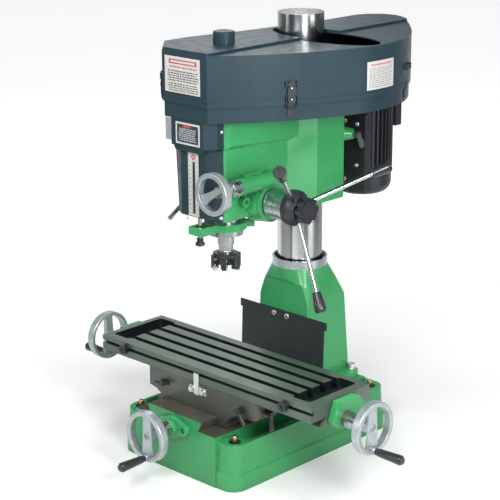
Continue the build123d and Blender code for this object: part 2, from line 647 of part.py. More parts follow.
def hub_arm(k, r0, r1, rad, rad2=None):
    """Bar on feed lever k, from r0 to r1 along it."""
    a = radians(141.7 - 120 * k)
    t = radians(26.4)
    d = (sin(t), cos(t) * cos(a), cos(t) * sin(a))
    p = (184 + r0 * d[0], FEED_Y + r0 * d[1], FEED_Z + r0 * d[2])
    q = (184 + r1 * d[0], FEED_Y + r1 * d[1], FEED_Z + r1 * d[2])
    return rod(p, q, rad, rad2)


def feed_hub():
    y, z = FEED_Y, FEED_Z
    body = rod((173, y, z), (188, y, z), 43) + rod((188, y, z), (204, y, z), 43, 30)
    for k in range(3):
        body += hub_arm(k, 10, 38, 9.5)
    body -= rod((172, y, z), (207, y, z), 10)
    for k in range(3):
        body -= hub_arm(k, 22, 60, 5.5)
    return body


def feed_levers():
    return [hub_arm(k, 22, 246, 5.5) for k in range(3)]


def feed_grips():
    out = []
    for k in range(3):
        g = hub_arm(k, 206, 242, 11.0, 15.0) + hub_arm(k, 242, 249, 15.0) + hub_arm(k, 249, 254, 15.0, 12.0)
        out.append(g - hub_arm(k, 200, 246, 5.5))
    return out


def star_knob():
    """Lobed clutch knob on the end of the pinion shaft."""
    y, z = FEED_Y, FEED_Z
    body = rod((210.5, y, z), (230, y, z), 26)
    body += rod((204.3, y, z), (211, y, z), 13)
    for k in range(8):
        a = 2 * pi * k / 8
        body += rod((210.5, y + 25 * cos(a), z + 25 * sin(a)), (228, y + 25 * cos(a), z + 25 * sin(a)), 7.5)
    body -= rod((200, y, z), (220, y, z), 6 + RUN)
    return body


def fine_feed_worm():
    body = rod((WORM_X, -62, WORM_Z), (WORM_X, -243, WORM_Z), 8)
    body += rod((WORM_X, -252, WORM_Z), (WORM_X, -256, WORM_Z), 9)
    body += rod((WORM_X, -243, WORM_Z), (WORM_X, -253, WORM_Z), 6)
    return body


def fine_feed_wheel():
    back = WORM_TUBE_Y - GAP - FINE_Y
    return FINE_W * handwheel(8, back, r=FINE_R, grip=False, dial_r=19.5, dial_len=28)


# ---------------------------------------------------------------- drive
def stepped_pulley(x, y, z0, radii, step, bore, hub_r, hub_len):
    """Vee pulley with one groove per step, wide end first."""
    body = None
    z = z0
    for r in radii:
        disc = rod((x, y, z), (x, y, z + step), r)
        grooved = disc - (rod((x, y, z + step / 2 - 6), (x, y, z + step / 2 + 6), r + 1)
                          - rod((x, y, z + step / 2 - 6), (x, y, z + step / 2), r, r - 8)
                          - rod((x, y, z + step / 2), (x, y, z + step / 2 + 6), r - 8, r))
        body = grooved if body is None else body + grooved
        z += step
    body += rod((x, y, z0 - hub_len), (x, y, z0 + 1), hub_r)
    return body - rod((x, y, z0 - hub_len - 1), (x, y, z + 1), bore)


STEP_H = 20.0
SP_STEPS = (72, 62, 52, 42)
ID_STEPS = (42, 52, 62, 72)
MO_STEPS = (36, 44, 52, 60)


def belt(p, rp, q, rq, z):
    """Vee belt drawn as a closed loop between two grooves, clear of both."""
    h = 8.0
    d = hypot(q[0] - p[0], q[1] - p[1])
    a = degrees(atan2(q[1] - p[1], q[0] - p[0]))
    s = (rp - rq) / d
    c = (1 - s * s) ** 0.5

    def loop(extra):
        p1, q1 = rp + extra, rq + extra
        face = make_face(Polyline((p1 * s, p1 * c), (d + q1 * s, q1 * c), (d + q1 * s, -q1 * c),
                                  (p1 * s, -p1 * c), close=True))
        return face + Circle(p1) + Pos(d, 0) * Circle(q1)

    ring = extrude(loop(7.0), h) - extrude(loop(0.0), h)
    return Pos(p[0], p[1], z - h / 2) * (Rot(0, 0, a) * ring)


def belts():
    z1 = 890 + STEP_H * 1.5
    front = belt((0, SP_Y), SP_STEPS[1] + 1, (IDLER_X, IDLER_Y), ID_STEPS[1] + 1, z1)
    z2 = 890 + STEP_H * 2.5
    back = belt((IDLER_X, IDLER_Y), ID_STEPS[2] + 1, (0, MOTOR_Y), MO_STEPS[2] + 1, z2)
    return front, back


def idler_arm():
    """Eccentric post that carries the idler pulley, pivoted on the guard's floor."""
    x, y = IDLER_X, IDLER_Y
    body = rod((x, y, 884), (x, y, 975), 9)
    body += rod((x, y, 876.5), (x, y, 886), 22)
    body += rod((x + 2, y - 40, 876.5), (x + 2, y - 40, 886), 16)
    body += box(x - 14, x + 18, y - 40, y, 876.5, 886)
    body += rod((x + 2, y - 40, 866), (x + 2, y - 40, 880), 9)
    return body


def motor_plate():
    """Channel plate behind the head with its two slide rods."""
    body = box(-101, 101, 292, 299, 616, 816)
    for s in (-1, 1):
        a, b = sorted((s * 101, s * 94))
        body += box(a, b, 292, 318, 616, 816)
    body += rod((70, 246, 770), (70, 293, 770), 8)
    body += rod((-70, 246, 812), (-70, 293, 812), 8)
    return body


def motor():
    """Finned vertical motor body with end bells."""
    y = MOTOR_Y
    fins = Circle(MOTOR_R - 9)
    for k in range(18):
        fins += Rot(0, 0, 10 * k) * Rectangle(2 * MOTOR_R, 3.2)
    body = Pos(0, y, 652) * extrude(fins, 186)
    body += rod((0, y, 640), (0, y, 653), MOTOR_R - 3)
    body += rod((0, y, 836), (0, y, 856), MOTOR_R - 2)
    body += rod((0, y, 856), (0, y, 864), 40)
    for z in (650, 760):
        body += box(-60, 60, 299, 340, z, z + 46)
    body -= rod((0, y, 630), (0, y, 870), 12 + RUN)
    return body


def motor_fan_cover():
    y = MOTOR_Y
    body = rod((0, y, 584), (0, y, 640), MOTOR_R - 2)
    body = fillet(body.faces().sort_by(Axis.Z)[0].edges(), 30)
    inner = rod((0, y, 587), (0, y, 641), MOTOR_R - 5)
    body -= fillet(inner.faces().sort_by(Axis.Z)[0].edges(), 27)
    for k in range(12):
        a = 2 * pi * k / 12
        body -= rod((34 * cos(a), y + 34 * sin(a), 580), (34 * cos(a), y + 34 * sin(a), 590), 5)
    return body


def motor_terminal_box():
    body = box(-46, 50, MOTOR_Y + MOTOR_R - 4, MOTOR_Y + MOTOR_R + 20, 752, 862)
    return body - rod((0, MOTOR_Y, 740), (0, MOTOR_Y, 870), MOTOR_R + 0.3)


def motor_rotor():
    y = MOTOR_Y
    body = stepped_pulley(0, y, 890, MO_STEPS, STEP_H, 5, 20, 14)
    body += rod((0, y, 618), (0, y, 960), 12)
    body += rod((0, y, 612), (0, y, 618), 60)
    for k in range(6):
        body += Pos(0, y, 0) * (Rot(0, 0, 60 * k) * box(8, 57, -1.5, 1.5, 617, 634))
    return body


def tension_lever():
    """Clamp screw with a leaning wing."""
    x, y, z = 92, TENSION_Y, TENSION_Z
    body = rod((78, y, z), (98, y, z), 5)
    body += rod((x + GAP, y, z), (107, y, z), 8)
    wing = [(-6, 0), (6, 0), (9, -28), (6, -38), (-4, -38), (-7, -28)]
    lean = radians(25)
    pts = [(y + u * cos(lean) - w * sin(lean), z + u * sin(lean) + w * cos(lean)) for u, w in wing]
    return body + prism_x(pts, 102, 107)


# ---------------------------------------------------------------- belt guard
def outline(inset):
    """Plan of the guard, moved inwards by the given amount."""
    pts = SIDE + FRONT
    n = len(pts)
    out = []
    for i in range(n):
        ax, ay = pts[i - 1]
        bx, by = pts[i]
        cx, cy = pts[(i + 1) % n]
        u, v = hypot(bx - ax, by - ay), hypot(cx - bx, cy - by)
        n1 = (-(by - ay) / u, (bx - ax) / u)
        n2 = (-(cy - by) / v, (cx - bx) / v)
        k = 1 + n1[0] * n2[0] + n1[1] * n2[1]
        out.append((bx + inset * (n1[0] + n2[0]) / k, by + inset * (n1[1] + n2[1]) / k))
    return out


def guard_face(inset):
    pts = outline(inset)
    side = pts[:len(SIDE)]
    front = pts[len(SIDE):]
    curve = Spline(*side)
    line = Polyline(side[-1], *front, side[0])
    return make_face(curve + line)


def guard_body(inset, z0, z1):
    return Pos(0, 0, z0) * extrude(guard_face(inset), z1 - z0)


def belt_pan():
    """Lower half of the belt guard, screwed to the head."""
    body = guard_body(4, PAN_Z0, PAN_Z1 - 12)
    body += guard_body(0, PAN_Z1 - 13, PAN_Z1)
    body -= guard_body(4 + SKIN, PAN_Z0 + SKIN, PAN_Z1 + 1)
    body -= rod((0, SP_Y, 860), (0, SP_Y, 890), 34)
    body -= rod((0, COL_Y, 860), (0, COL_Y, 890), COL_R + 6)
    body -= box(-13, 13, COL_Y + 50, 234, 860, 890)
    body -= slab(60, 90, 28, 860, 890, 0, MOTOR_Y + 6)
    body -= rod((IDLER_X + 2, IDLER_Y - 40, 860), (IDLER_X + 2, IDLER_Y - 40, 890), 9 + RUN)
    for at, normal in LATCHES.values():
        body += latch_plane(at, normal) * box(-8, 8, -36, -19, -5, 2)
    return body


def belt_lid():
    """Lift-off upper half with a raised middle band and an oval opening for the column."""
    body = guard_body(0, LID_Z0 + GAP, LID_Z1)
    band = guard_body(0.5, LID_Z1 - 1, BAND_Z) & box(-BAND_HX, BAND_HX + 6, -300, 600, 1000, 1100)
    body += band
    body -= guard_body(SKIN, LID_Z0 - 1, LID_Z1 - SKIN)
    oval = Pos(93, 146, 1000) * extrude(Ellipse(163, 72), 60)
    body -= oval
    body -= rod((0, COL_Y, 1000), (0, COL_Y, 1060), COL_R + 6)
    body -= rod((0, SP_Y, 1000), (0, SP_Y, 1060), 20)
    body -= box(-13, 13, COL_Y + 50, 234, 1000, 1060)
    for at, normal in LATCHES.values():
        body += latch_plane(at, normal) * latch_ears()
    return body


def drawbar_cap():
    body = rod((0, SP_Y, BAND_Z - 12), (0, SP_Y, BAND_Z), 19.5)
    body += rod((0, SP_Y, BAND_Z), (0, SP_Y, 1066), 26)
    body = fillet(body.faces().sort_by(Axis.Z)[-1].edges(), 4)
    return body - rod((0, SP_Y, BAND_Z - 14), (0, SP_Y, 1061), 16)


LATCHES = {
    "latch_right": ((187.5, -79.5), (0.880, -0.475)),
    "latch_rear": ((237.4, 281.9), (0.911, 0.412)),
    "latch_left": ((-116.5, -196.0), (-0.719, -0.695)),
}


def latch_plane(at, normal):
    """Local +X along the guard, +Y up, +Z out of its wall."""
    across = (-normal[1], normal[0], 0)
    return Plane(origin=(at[0], at[1], 940), x_dir=across, z_dir=(normal[0], normal[1], 0))


def latch_ears():
    """Two ears and a hinge pin for one latch."""
    ears = box(-15, -11.3, 12, 26, -2.5, 8) + box(11.3, 15, 12, 26, -2.5, 8)
    return ears + rod((-13, 20, 4.5), (13, 20, 4.5), 1.5)


def latch(at, normal):
    """Toggle lever with its wire bail."""
    lever = box(-9, 9, -26, 20, 3.2, 5.6) + rod((-11, 20, 4.5), (11, 20, 4.5), 3.4)
    lever += box(-11, -8.8, -10, 20, 1, 7) + box(8.8, 11, -10, 20, 1, 7)
    lever -= rod((-12, 20, 4.5), (12, 20, 4.5), 1.5 + RUN)
    bail = rod((-13, -6, 4.3), (13, -6, 4.3), 1.5)
    for s in (-1, 1):
        bail += rod((s * 13, -4.5, 4.3), (s * 13, -37, 4.3), 1.5)
    bail += rod((-14.5, -37, 4.3), (14.5, -37, 4.3), 1.5)
    return latch_plane(at, normal) * (lever + bail)


def main():
    os.makedirs("parts", exist_ok=True)
    save("base_casting", base_casting())
    save("anchor_bolts", *anchor_bolts())
    save("pedestal", pedestal())
    save("pedestal_bolts", *pedestal_bolts())
    save("column", column())
    save("column_ring", column_ring())
    save("chip_guard", chip_guard())
    save("y_screw_bracket", y_screw_bracket())
    save("saddle", saddle())
    save("centre_stop", centre_stop())
    left, right = table_locks()
    save("table_lock_left", left)
    save("table_lock_right", right)
    save("saddle_lock", saddle_lock())
    save("table", table())
    save("table_brackets", *table_brackets())
    save("table_stop_left", table_stop(-232))
    save("table_stop_right", table_stop(318))
    save("x_leadscrew", x_leadscrew())
    save("x_handwheels", *x_handwheels())
    save("x_grip_right", RIGHT * grip())
    save("x_grip_left", LEFT * grip())
    save("y_leadscrew", y_leadscrew())
    save("y_handwheel", FRONT_W * handwheel(8, -YW_FRONT - 318.3))
    save("y_grip", FRONT_W * grip())
    save("head_casting", head_casting())
    save("front_cover", front_cover())
    save("switch_box", switch_box())
    save("quill_lock", quill_lock())
    save("column_rack", column_rack())
    save("elevating_crank", elevating_crank())
    save("quill", quill())
    save("depth_stop_bracket", depth_stop_bracket())
    save("depth_stop_rod", depth_stop_rod())
    save("depth_stop_knob", depth_stop_knob())
    save("spindle", spindle())
    save("drawbar", drawbar())
    save("face_mill", face_mill())
    save("pinion_shaft", pinion_shaft())
    save("feed_hub", feed_hub())
    save("feed_levers", *feed_levers())
    save("feed_grips", *feed_grips())
    save("star_knob", star_knob())
    save("fine_feed_worm", fine_feed_worm())
    save("fine_feed_wheel", fine_feed_wheel())
    save("spindle_pulley", stepped_pulley(0, SP_Y, 890, SP_STEPS, STEP_H, 15 + RUN, 26, 48))
    save("idler_pulley", stepped_pulley(IDLER_X, IDLER_Y, 890, ID_STEPS, STEP_H, 9 + RUN, 14, 3))
    save("idler_arm", idler_arm())
    save("belts", *belts())
    save("motor_plate", motor_plate())
    save("motor", motor())
    save("motor_fan_cover", motor_fan_cover())
    save("motor_terminal_box", motor_terminal_box())
    save("motor_rotor", motor_rotor())
    save("tension_lever", tension_lever())
    save("belt_pan", belt_pan())
    save("belt_lid", belt_lid())
    save("drawbar_cap", drawbar_cap())
    for name, (at, normal) in LATCHES.items():
        save(name, latch(at, normal))


if __name__ == "__main__":
    main()
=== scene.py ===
"""Looks of the round-column bench milling machine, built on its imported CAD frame. Metres, Z up."""
import json
import random
from math import cos, pi, radians, sin

import bmesh
import bpy
from mathutils import Matrix, Vector
from mathutils.bvhtree import BVHTree

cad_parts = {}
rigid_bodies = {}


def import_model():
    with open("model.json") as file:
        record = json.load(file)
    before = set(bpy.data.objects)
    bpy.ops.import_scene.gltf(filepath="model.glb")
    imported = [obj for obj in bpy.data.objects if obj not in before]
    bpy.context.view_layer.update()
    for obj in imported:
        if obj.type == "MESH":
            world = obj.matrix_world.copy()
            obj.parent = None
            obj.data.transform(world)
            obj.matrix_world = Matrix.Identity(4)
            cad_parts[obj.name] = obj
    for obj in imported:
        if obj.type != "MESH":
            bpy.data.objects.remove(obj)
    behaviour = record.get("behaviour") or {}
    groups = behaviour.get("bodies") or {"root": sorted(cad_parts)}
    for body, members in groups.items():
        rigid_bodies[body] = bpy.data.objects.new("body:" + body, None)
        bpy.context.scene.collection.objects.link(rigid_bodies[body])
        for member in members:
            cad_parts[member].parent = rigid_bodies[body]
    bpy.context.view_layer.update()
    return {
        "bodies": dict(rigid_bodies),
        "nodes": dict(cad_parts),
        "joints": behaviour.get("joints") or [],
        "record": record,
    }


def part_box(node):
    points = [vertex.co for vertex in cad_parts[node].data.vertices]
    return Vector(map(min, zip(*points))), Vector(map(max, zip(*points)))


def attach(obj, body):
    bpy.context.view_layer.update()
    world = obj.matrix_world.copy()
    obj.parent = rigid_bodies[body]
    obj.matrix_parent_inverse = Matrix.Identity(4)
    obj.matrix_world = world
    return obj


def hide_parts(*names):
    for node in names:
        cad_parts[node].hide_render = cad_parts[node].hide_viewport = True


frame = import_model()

NODES = frame["nodes"]
MM = 0.001
SCENE = bpy.context.scene

# places on the machine, in millimetres
SPINDLE = (0.0, -109.0)
TABLE_SCREW_Y, TABLE_SCREW_Z = -137, 213
CROSS_SCREW_Z = 122
FINE_X, FINE_Z = 95, 712
DRUM_Y, DRUM_Z = -59, 659
LATCH_Z = 940
RIGHT, LEFT, FRONT, UP = (1, 0, 0), (-1, 0, 0), (0, -1, 0), (0, 0, 1)


# ---------------------------------------------------------------- shader graphs
class Graph:
    """Short way to write one material's node tree."""

    def __init__(self, name, colour, roughness=0.5, metallic=0.0, **sockets):
        self.material = bpy.data.materials.new(name)
        self.material.use_nodes = True
        self.tree = self.material.node_tree
        self.shader = self.tree.nodes["Principled BSDF"]
        self.set("Base Color", (*colour, 1.0))
        self.set("Roughness", roughness)
        self.set("Metallic", metallic)
        for socket, value in sockets.items():
            self.set(socket.replace("_", " "), value)
        self.place = self.add("TexCoord").outputs["Object"]

    def set(self, socket, value):
        self.shader.inputs[socket].default_value = value

    def feed(self, socket, output):
        self.tree.links.new(output, self.shader.inputs[socket])

    def add(self, kind, **inputs):
        node = self.tree.nodes.new("ShaderNode" + kind)
        for name, value in inputs.items():
            self.put(node.inputs[name.replace("_", " ")], value)
        return node

    def put(self, socket, value):
        if isinstance(value, bpy.types.NodeSocket):
            self.tree.links.new(value, socket)
        elif isinstance(value, tuple) and len(value) == 3 and socket.type == "RGBA":
            socket.default_value = (*value, 1.0)
        else:
            socket.default_value = value

    def noise(self, scale, detail, stretch=(1, 1, 1)):
        place = self.add("Mapping", Vector=self.place, Scale=stretch).outputs[0]
        node = self.add("TexNoise", Vector=place, Scale=scale, Detail=detail, Roughness=0.55)
        return node.outputs["Fac"]

    def cells(self, scale):
        return self.add("TexVoronoi", Vector=self.place, Scale=scale).outputs["Distance"]

    def span(self, value, low, high, start=0.0, end=1.0):
        node = self.add("MapRange")
        for socket, v in zip(node.inputs, (value, low, high, start, end)):
            self.put(socket, v)
        return node.outputs[0]

    def calc(self, operation, a, b=0.0):
        node = self.add("Math")
        node.operation = operation
        self.put(node.inputs[0], a)
        self.put(node.inputs[1], b)
        return node.outputs[0]

    def mix(self, share, a, b):
        node = self.add("Mix")
        node.data_type = "RGBA"
        for socket, value in ((node.inputs[0], share), (node.inputs[6], a), (node.inputs[7], b)):
            self.put(socket, value)
        return node.outputs[2]

    def axis(self, letter):
        return self.add("SeparateXYZ", Vector=self.place).outputs[letter]

    def corner_shade(self, reach):
        """Painted-shade mask from ambient occlusion: 1 in a tight corner, 0 on an open face."""
        node = self.add("AmbientOcclusion", Distance=reach)
        node.samples = 6
        return self.span(node.outputs["AO"], 0.25, 0.85, 1.0, 0.0)

    def edge(self, radius):
        """1 on a sharp edge, 0 away from it."""
        rounded = self.add("Bevel", Radius=radius)
        rounded.samples = 4
        straight = self.add("NewGeometry").outputs["Normal"]
        dot = self.add("VectorMath")
        dot.operation = "DOT_PRODUCT"
        self.put(dot.inputs[0], rounded.outputs[0])
        self.put(dot.inputs[1], straight)
        return self.span(dot.outputs["Value"], 0.995, 0.9, 0.0, 1.0)

    def bump(self, height, depth, strength, under=None):
        """Small relief, depth in metres; under is the bump it lies on."""
        node = self.add("Bump", Height=height, Distance=depth, Strength=strength)
        if under is not None:
            self.put(node.inputs["Normal"], under)
        self.feed("Normal", node.outputs[0])
        return node.outputs[0]


def shade(colour, factor):
    """Lighter or darker copy of a colour."""
    return tuple(min(1.0, c * factor) for c in colour)


def set_ramp(ramp, stops, tint=(1.0, 1.0, 1.0)):
    """Fill a colour ramp with (place, tone) stops."""
    elements = ramp.elements
    elements[0].position, elements[1].position = stops[0][0], stops[-1][0]
    for place, _ in stops[1:-1]:
        elements.new(place)
    for element, (_, tone) in zip(elements, stops):
        element.color = (*shade(tint, tone), 1)


def enamel(name, colour, bare=None):
    """Glossy machine enamel on a casting: uneven film, orange peel, soiling from oil and painted shade in
    the corners, worn edges.

    bare(graph) may give a mask of machined metal left without paint."""
    # the dark grime colour also serves as painted shade in the corners
    worn, grime_and_shade, roughness = (0.30, 0.62, 0.38), (0.02, 0.06, 0.03), 0.34
    dull_iron, light_iron, iron_line = (0.16, 0.155, 0.12), (0.24, 0.235, 0.19), (0.10, 0.10, 0.08)
    g = Graph(name, colour, roughness, Coat_Weight=0.28, Coat_Roughness=0.12,
              Specular_IOR_Level=0.3)
    clouds = g.span(g.noise(7.0, 3.0), 0.3, 0.7)
    speck = g.span(g.noise(260.0, 2.0), 0.35, 0.65)
    film = g.mix(clouds, shade(colour, 0.88), shade(colour, 1.1))
    film = g.mix(g.calc("MULTIPLY", speck, 0.35), film, shade(colour, 0.82))
    # painted shade and dirt: occlusion darkens the corners where shade falls, broken up by patchy dirt
    dirt_and_shade = g.calc("MULTIPLY", g.corner_shade(0.03), g.span(g.noise(24.0, 5.0), 0.3, 0.75, 0.2, 0.9))
    film = g.mix(g.calc("MULTIPLY", dirt_and_shade, 0.8), film, grime_and_shade)
    rubbed = g.calc("MULTIPLY", g.edge(0.0022), g.span(g.noise(55.0, 4.0), 0.45, 0.62))
    film = g.mix(g.calc("MULTIPLY", rubbed, 0.6), film, worn)
    gloss = g.span(g.noise(18.0, 4.0), 0.3, 0.7, roughness - 0.07, roughness + 0.12)
    if bare:
        share = bare(g)
        lines = g.span(g.noise(700.0, 2.0, (1, 0.05, 1)), 0.4, 0.65)
        metal = g.mix(g.span(g.noise(22.0, 4.0), 0.3, 0.7), dull_iron, light_iron)
        metal = g.mix(g.calc("MULTIPLY", lines, 0.5), metal, iron_line)
        film = g.mix(share, film, metal)
        g.feed("Metallic", g.calc("MULTIPLY", share, 0.75))
    g.feed("Base Color", film)
    g.feed("Roughness", gloss)
    fine = g.bump(g.noise(430.0, 2.0), 0.0002, 0.35)
    g.bump(g.noise(30.0, 2.0), 0.0008, 0.18, fine)
    return g.material


def ground(name, colour, tint, roughness, along, sunk=None):
    """Ground iron: fine parallel marks along one direction, patches of oil film and painted shade in the
    corners.

    sunk(graph) may give a mask of rough hollows painted dark as shade."""
    slot_shade = (0.018, 0.028, 0.026)
    g = Graph(name, colour, roughness, 0.6)
    marks = g.noise(900.0, 2.0, along)
    patches = g.span(g.noise(6.0, 3.0), 0.3, 0.7)
    film = g.mix(patches, colour, tint)
    film = g.mix(g.calc("MULTIPLY", g.span(marks, 0.35, 0.7), 0.25), film, shade(colour, 0.6))
    # painted shade in the corners, from the occlusion mask
    film = g.mix(g.calc("MULTIPLY", g.corner_shade(0.012), 0.75), film, shade(tint, 0.2))
    if sunk:
        # painted shade: the hollows are darkened as if in shadow
        film = g.mix(sunk(g), film, slot_shade)
    g.feed("Base Color", film)
    g.feed("Roughness", g.span(g.noise(9.0, 2.0), 0.3, 0.7, roughness - 0.04, roughness + 0.05))
    g.bump(marks, 0.00002, 0.2)
    return g.material


def cast_metal(name, colour, roughness, metallic):
    """Tumbled casting: matt grain, shallow pits, painted shade in the hollows and brighter rubbed edges."""
    g = Graph(name, colour, roughness, metallic)
    film = g.mix(g.span(g.noise(60.0, 5.0), 0.3, 0.7), shade(colour, 0.86), shade(colour, 1.08))
    # painted shade in the hollows, from the occlusion mask
    film = g.mix(g.calc("MULTIPLY", g.corner_shade(0.01), 0.6), film, shade(colour, 0.45))
    g.feed("Base Color", g.mix(g.calc("MULTIPLY", g.edge(0.0012), 0.5), film, shade(colour, 1.35)))
    g.feed("Roughness", g.span(g.noise(160.0, 3.0), 0.3, 0.7, roughness - 0.06, roughness + 0.1))
    grain = g.bump(g.noise(520.0, 3.0), 0.00025, 0.45)
    g.bump(g.cells(340.0), 0.0001, 0.25, grain)
    return g.material


def bright(name, colour, roughness, along=(1, 1, 1), dull=0.3, marked=None, painted_reflection=None):
    """Turned or plated bright metal with hairline marks and a few dull finger-marks.

    marked(graph) may give a mask of red paint; the last argument may give a share of brightness that paints
    reflection bands."""
    red_paint = (0.5, 0.03, 0.03)
    g = Graph(name, colour, roughness, 1.0)
    hair = g.noise(700.0, 2.0, along)
    smudge = g.span(g.noise(45.0, 4.0), 0.48, 0.7)
    film = g.mix(g.calc("MULTIPLY", smudge, dull), colour, shade(colour, 0.72))
    # painted reflection: light and dark bands laid into the colour
    if painted_reflection:
        film = g.mix(painted_reflection(g), shade(colour, 0.22), film)
    if marked:
        film = g.mix(marked(g), film, red_paint)
    g.feed("Base Color", film)
    g.feed("Roughness", g.calc("ADD", g.span(hair, 0.3, 0.7, roughness * 0.75, roughness * 1.25),
                               g.calc("MULTIPLY", smudge, dull * 0.25)))
    g.bump(hair, 0.00002, 0.25)
    return g.material


def black_steel(name, colour, roughness):
    """Oil-blackened steel that has gone grey on its edges."""
    grey = (0.3, 0.3, 0.3)
    g = Graph(name, colour, roughness, 0.7)
    film = g.mix(g.span(g.noise(80.0, 4.0), 0.35, 0.7), colour, shade(colour, 1.9))
    worn = g.calc("MULTIPLY", g.edge(0.001), g.span(g.noise(140.0, 3.0), 0.35, 0.6))
    g.feed("Base Color", g.mix(g.calc("MULTIPLY", worn, 0.7), film, grey))
    g.feed("Roughness", g.span(g.noise(120.0, 3.0), 0.3, 0.7, roughness - 0.08, roughness + 0.12))
    g.bump(g.noise(500.0, 2.0), 0.00012, 0.4)
    return g.material


def moulded(name, colour, roughness, grain, depth, haze, shine=0.5):
    """Moulded plastic or rubber: a leathery grain of the given depth, and paler patches (haze above 1)."""
    g = Graph(name, colour, roughness, Specular_IOR_Level=shine)
    bloom = g.span(g.noise(16.0, 4.0), 0.3, 0.72)
    film = g.mix(bloom, colour, shade(colour, haze))
    # painted shade in the corners, from the occlusion mask
    g.feed("Base Color", g.mix(g.calc("MULTIPLY", g.corner_shade(0.012), 0.5), film, shade(colour, 0.4)))
    g.feed("Roughness", g.span(g.noise(40.0, 3.0), 0.3, 0.7, roughness - 0.05, roughness + 0.1))
    fine = g.bump(g.cells(grain), depth, 0.35)
    g.bump(g.noise(grain * 1.7, 2.0), depth * 0.6, 0.4, fine)
    return g.material


def printed(name, colour, roughness=0.45):
    """Printed foil: nearly even ink with faint mottling."""
    g = Graph(name, colour, roughness)
    g.feed("Base Color", g.mix(g.span(g.noise(90.0, 3.0), 0.3, 0.7), shade(colour, 0.92), colour))
    g.bump(g.noise(700.0, 2.0), 0.00003, 0.3)
    return g.material


def paper():
    """White floor that fades to grey far out, but glows faintly behind the machine."""
    white, off_white, grey_far = (0.85, 0.85, 0.85), (0.82, 0.82, 0.82), (0.20, 0.20, 0.20)
    no_glow, full_glow, half_root = (0.04, 0.04, 0.04), (1, 1, 1), 0.707
    g = Graph("pale_floor", (0.84, 0.84, 0.84), 0.7, Emission_Strength=1.0)
    x, y = g.axis("X"), g.axis("Y")
    along = g.calc("MULTIPLY", g.calc("SUBTRACT", y, x), half_root)
    squares = g.calc("ADD", g.calc("MULTIPLY", x, x), g.calc("MULTIPLY", y, y))
    out = g.calc("SQRT", g.calc("ADD", squares, 0.01))
    behind = g.span(g.calc("DIVIDE", along, out), 0.2, 0.9)
    grey = g.calc("MULTIPLY", g.span(out, 1.1, 2.6), g.calc("SUBTRACT", 1.0, behind))
    tint = g.mix(g.span(g.noise(3.0, 3.0), 0.3, 0.7), off_white, white)
    g.feed("Base Color", g.mix(grey, tint, grey_far))
    glow = g.calc("MULTIPLY", behind, g.span(out, 0.5, 2.6, 0.0, 0.62))
    g.feed("Emission Color", g.mix(glow, no_glow, full_glow))
    return g.material


# places of the painted and machined zones, in metres
LINE_Z, HALF_LINE = 0.557, 0.0009
COLUMN_Y, COLUMN_R, GUARD_TOP = 0.16, 0.0577, 0.93
WAYS_Z, WAYS_HALF, WAYS_END = 0.1293, 0.1405, 0.088
TABLE_X, TABLE_Y, TABLE_TOP, TROUGH_HALF = 0.0395, -0.131, 0.2636, (0.352, 0.095)
NOSE_Y, NOSE_Z, NOSE_R, NOSE_OUT = -0.137, 0.213, 0.0215, 0.371


def red_line(g):
    """Mask of the thin red line painted round the column where the head should stop."""
    above = g.calc("SUBTRACT", g.axis("Z"), LINE_Z)
    return g.calc("LESS_THAN", g.calc("ABSOLUTE", above), HALF_LINE)


def painted_column_reflections(g):
    """Share of brightness round the column: painted reflection bands below the guard, and above it a
    painted highlight that grows darker towards both edges.
    """
    x, y = g.axis("X"), g.calc("SUBTRACT", g.axis("Y"), COLUMN_Y)
    side = g.calc("ADD", g.calc("MULTIPLY", x, 0.76), g.calc("MULTIPLY", y, 0.65))
    # painted reflections: light and dark upright bands round the column
    ramp = g.add("ValToRGB")
    set_ramp(ramp.color_ramp, (
        (0.0, 0.15), (0.02, 0.2), (0.035, 1.0), (0.085, 0.9), (0.11, 0.45), (0.30, 0.36), (0.315, 0.1),
        (0.335, 0.1), (0.355, 1.0), (0.43, 0.9), (0.48, 0.6), (0.59, 0.5), (0.61, 0.14), (0.68, 0.2),
        (0.70, 0.75), (0.79, 0.7), (0.82, 0.45), (0.94, 0.4), (0.96, 0.1), (1.0, 0.1)))
    g.put(ramp.inputs[0], g.span(side, -COLUMN_R, COLUMN_R))
    # painted highlight in the middle, fading to painted shade at both edges
    painted_highlight = g.span(g.calc("ABSOLUTE", side), 0.052, 0.006, 0.3, 1.0)  # darker towards both edges
    above = g.calc("GREATER_THAN", g.axis("Z"), GUARD_TOP)
    low = g.calc("MULTIPLY", g.calc("SUBTRACT", 1.0, above), ramp.outputs[0])
    return g.calc("ADD", low, g.calc("MULTIPLY", above, painted_highlight))


def both(g, share, *masks):
    """Share where every mask holds."""
    for mask in masks:
        share = g.calc("MULTIPLY", share, mask)
    return share


def base_ways(g):
    """Mask of the base's ground ways: its raised middle before the pedestal, but not its front end."""
    x, y, z = (g.axis(letter) for letter in "XYZ")
    facing = g.add("SeparateXYZ", Vector=g.add("NewGeometry").outputs["Normal"]).outputs["Y"]
    across = g.calc("ABSOLUTE", x)
    return both(g, g.calc("GREATER_THAN", z, WAYS_Z), g.calc("LESS_THAN", across, WAYS_HALF),
                g.calc("LESS_THAN", y, WAYS_END), g.calc("GREATER_THAN", facing, -0.5))


def table_hollows(g):
    """Mask of the T-slots and end troughs below the table's ground top, where painted shade darkens them.
    """
    x, y, z = (g.axis(letter) for letter in "XYZ")
    across = g.calc("ABSOLUTE", g.calc("SUBTRACT", y, TABLE_Y))
    along = g.calc("ABSOLUTE", g.calc("SUBTRACT", x, TABLE_X))
    return both(g, g.calc("LESS_THAN", z, TABLE_TOP), g.calc("LESS_THAN", across, TROUGH_HALF[1]),
                g.calc("LESS_THAN", along, TROUGH_HALF[0]))


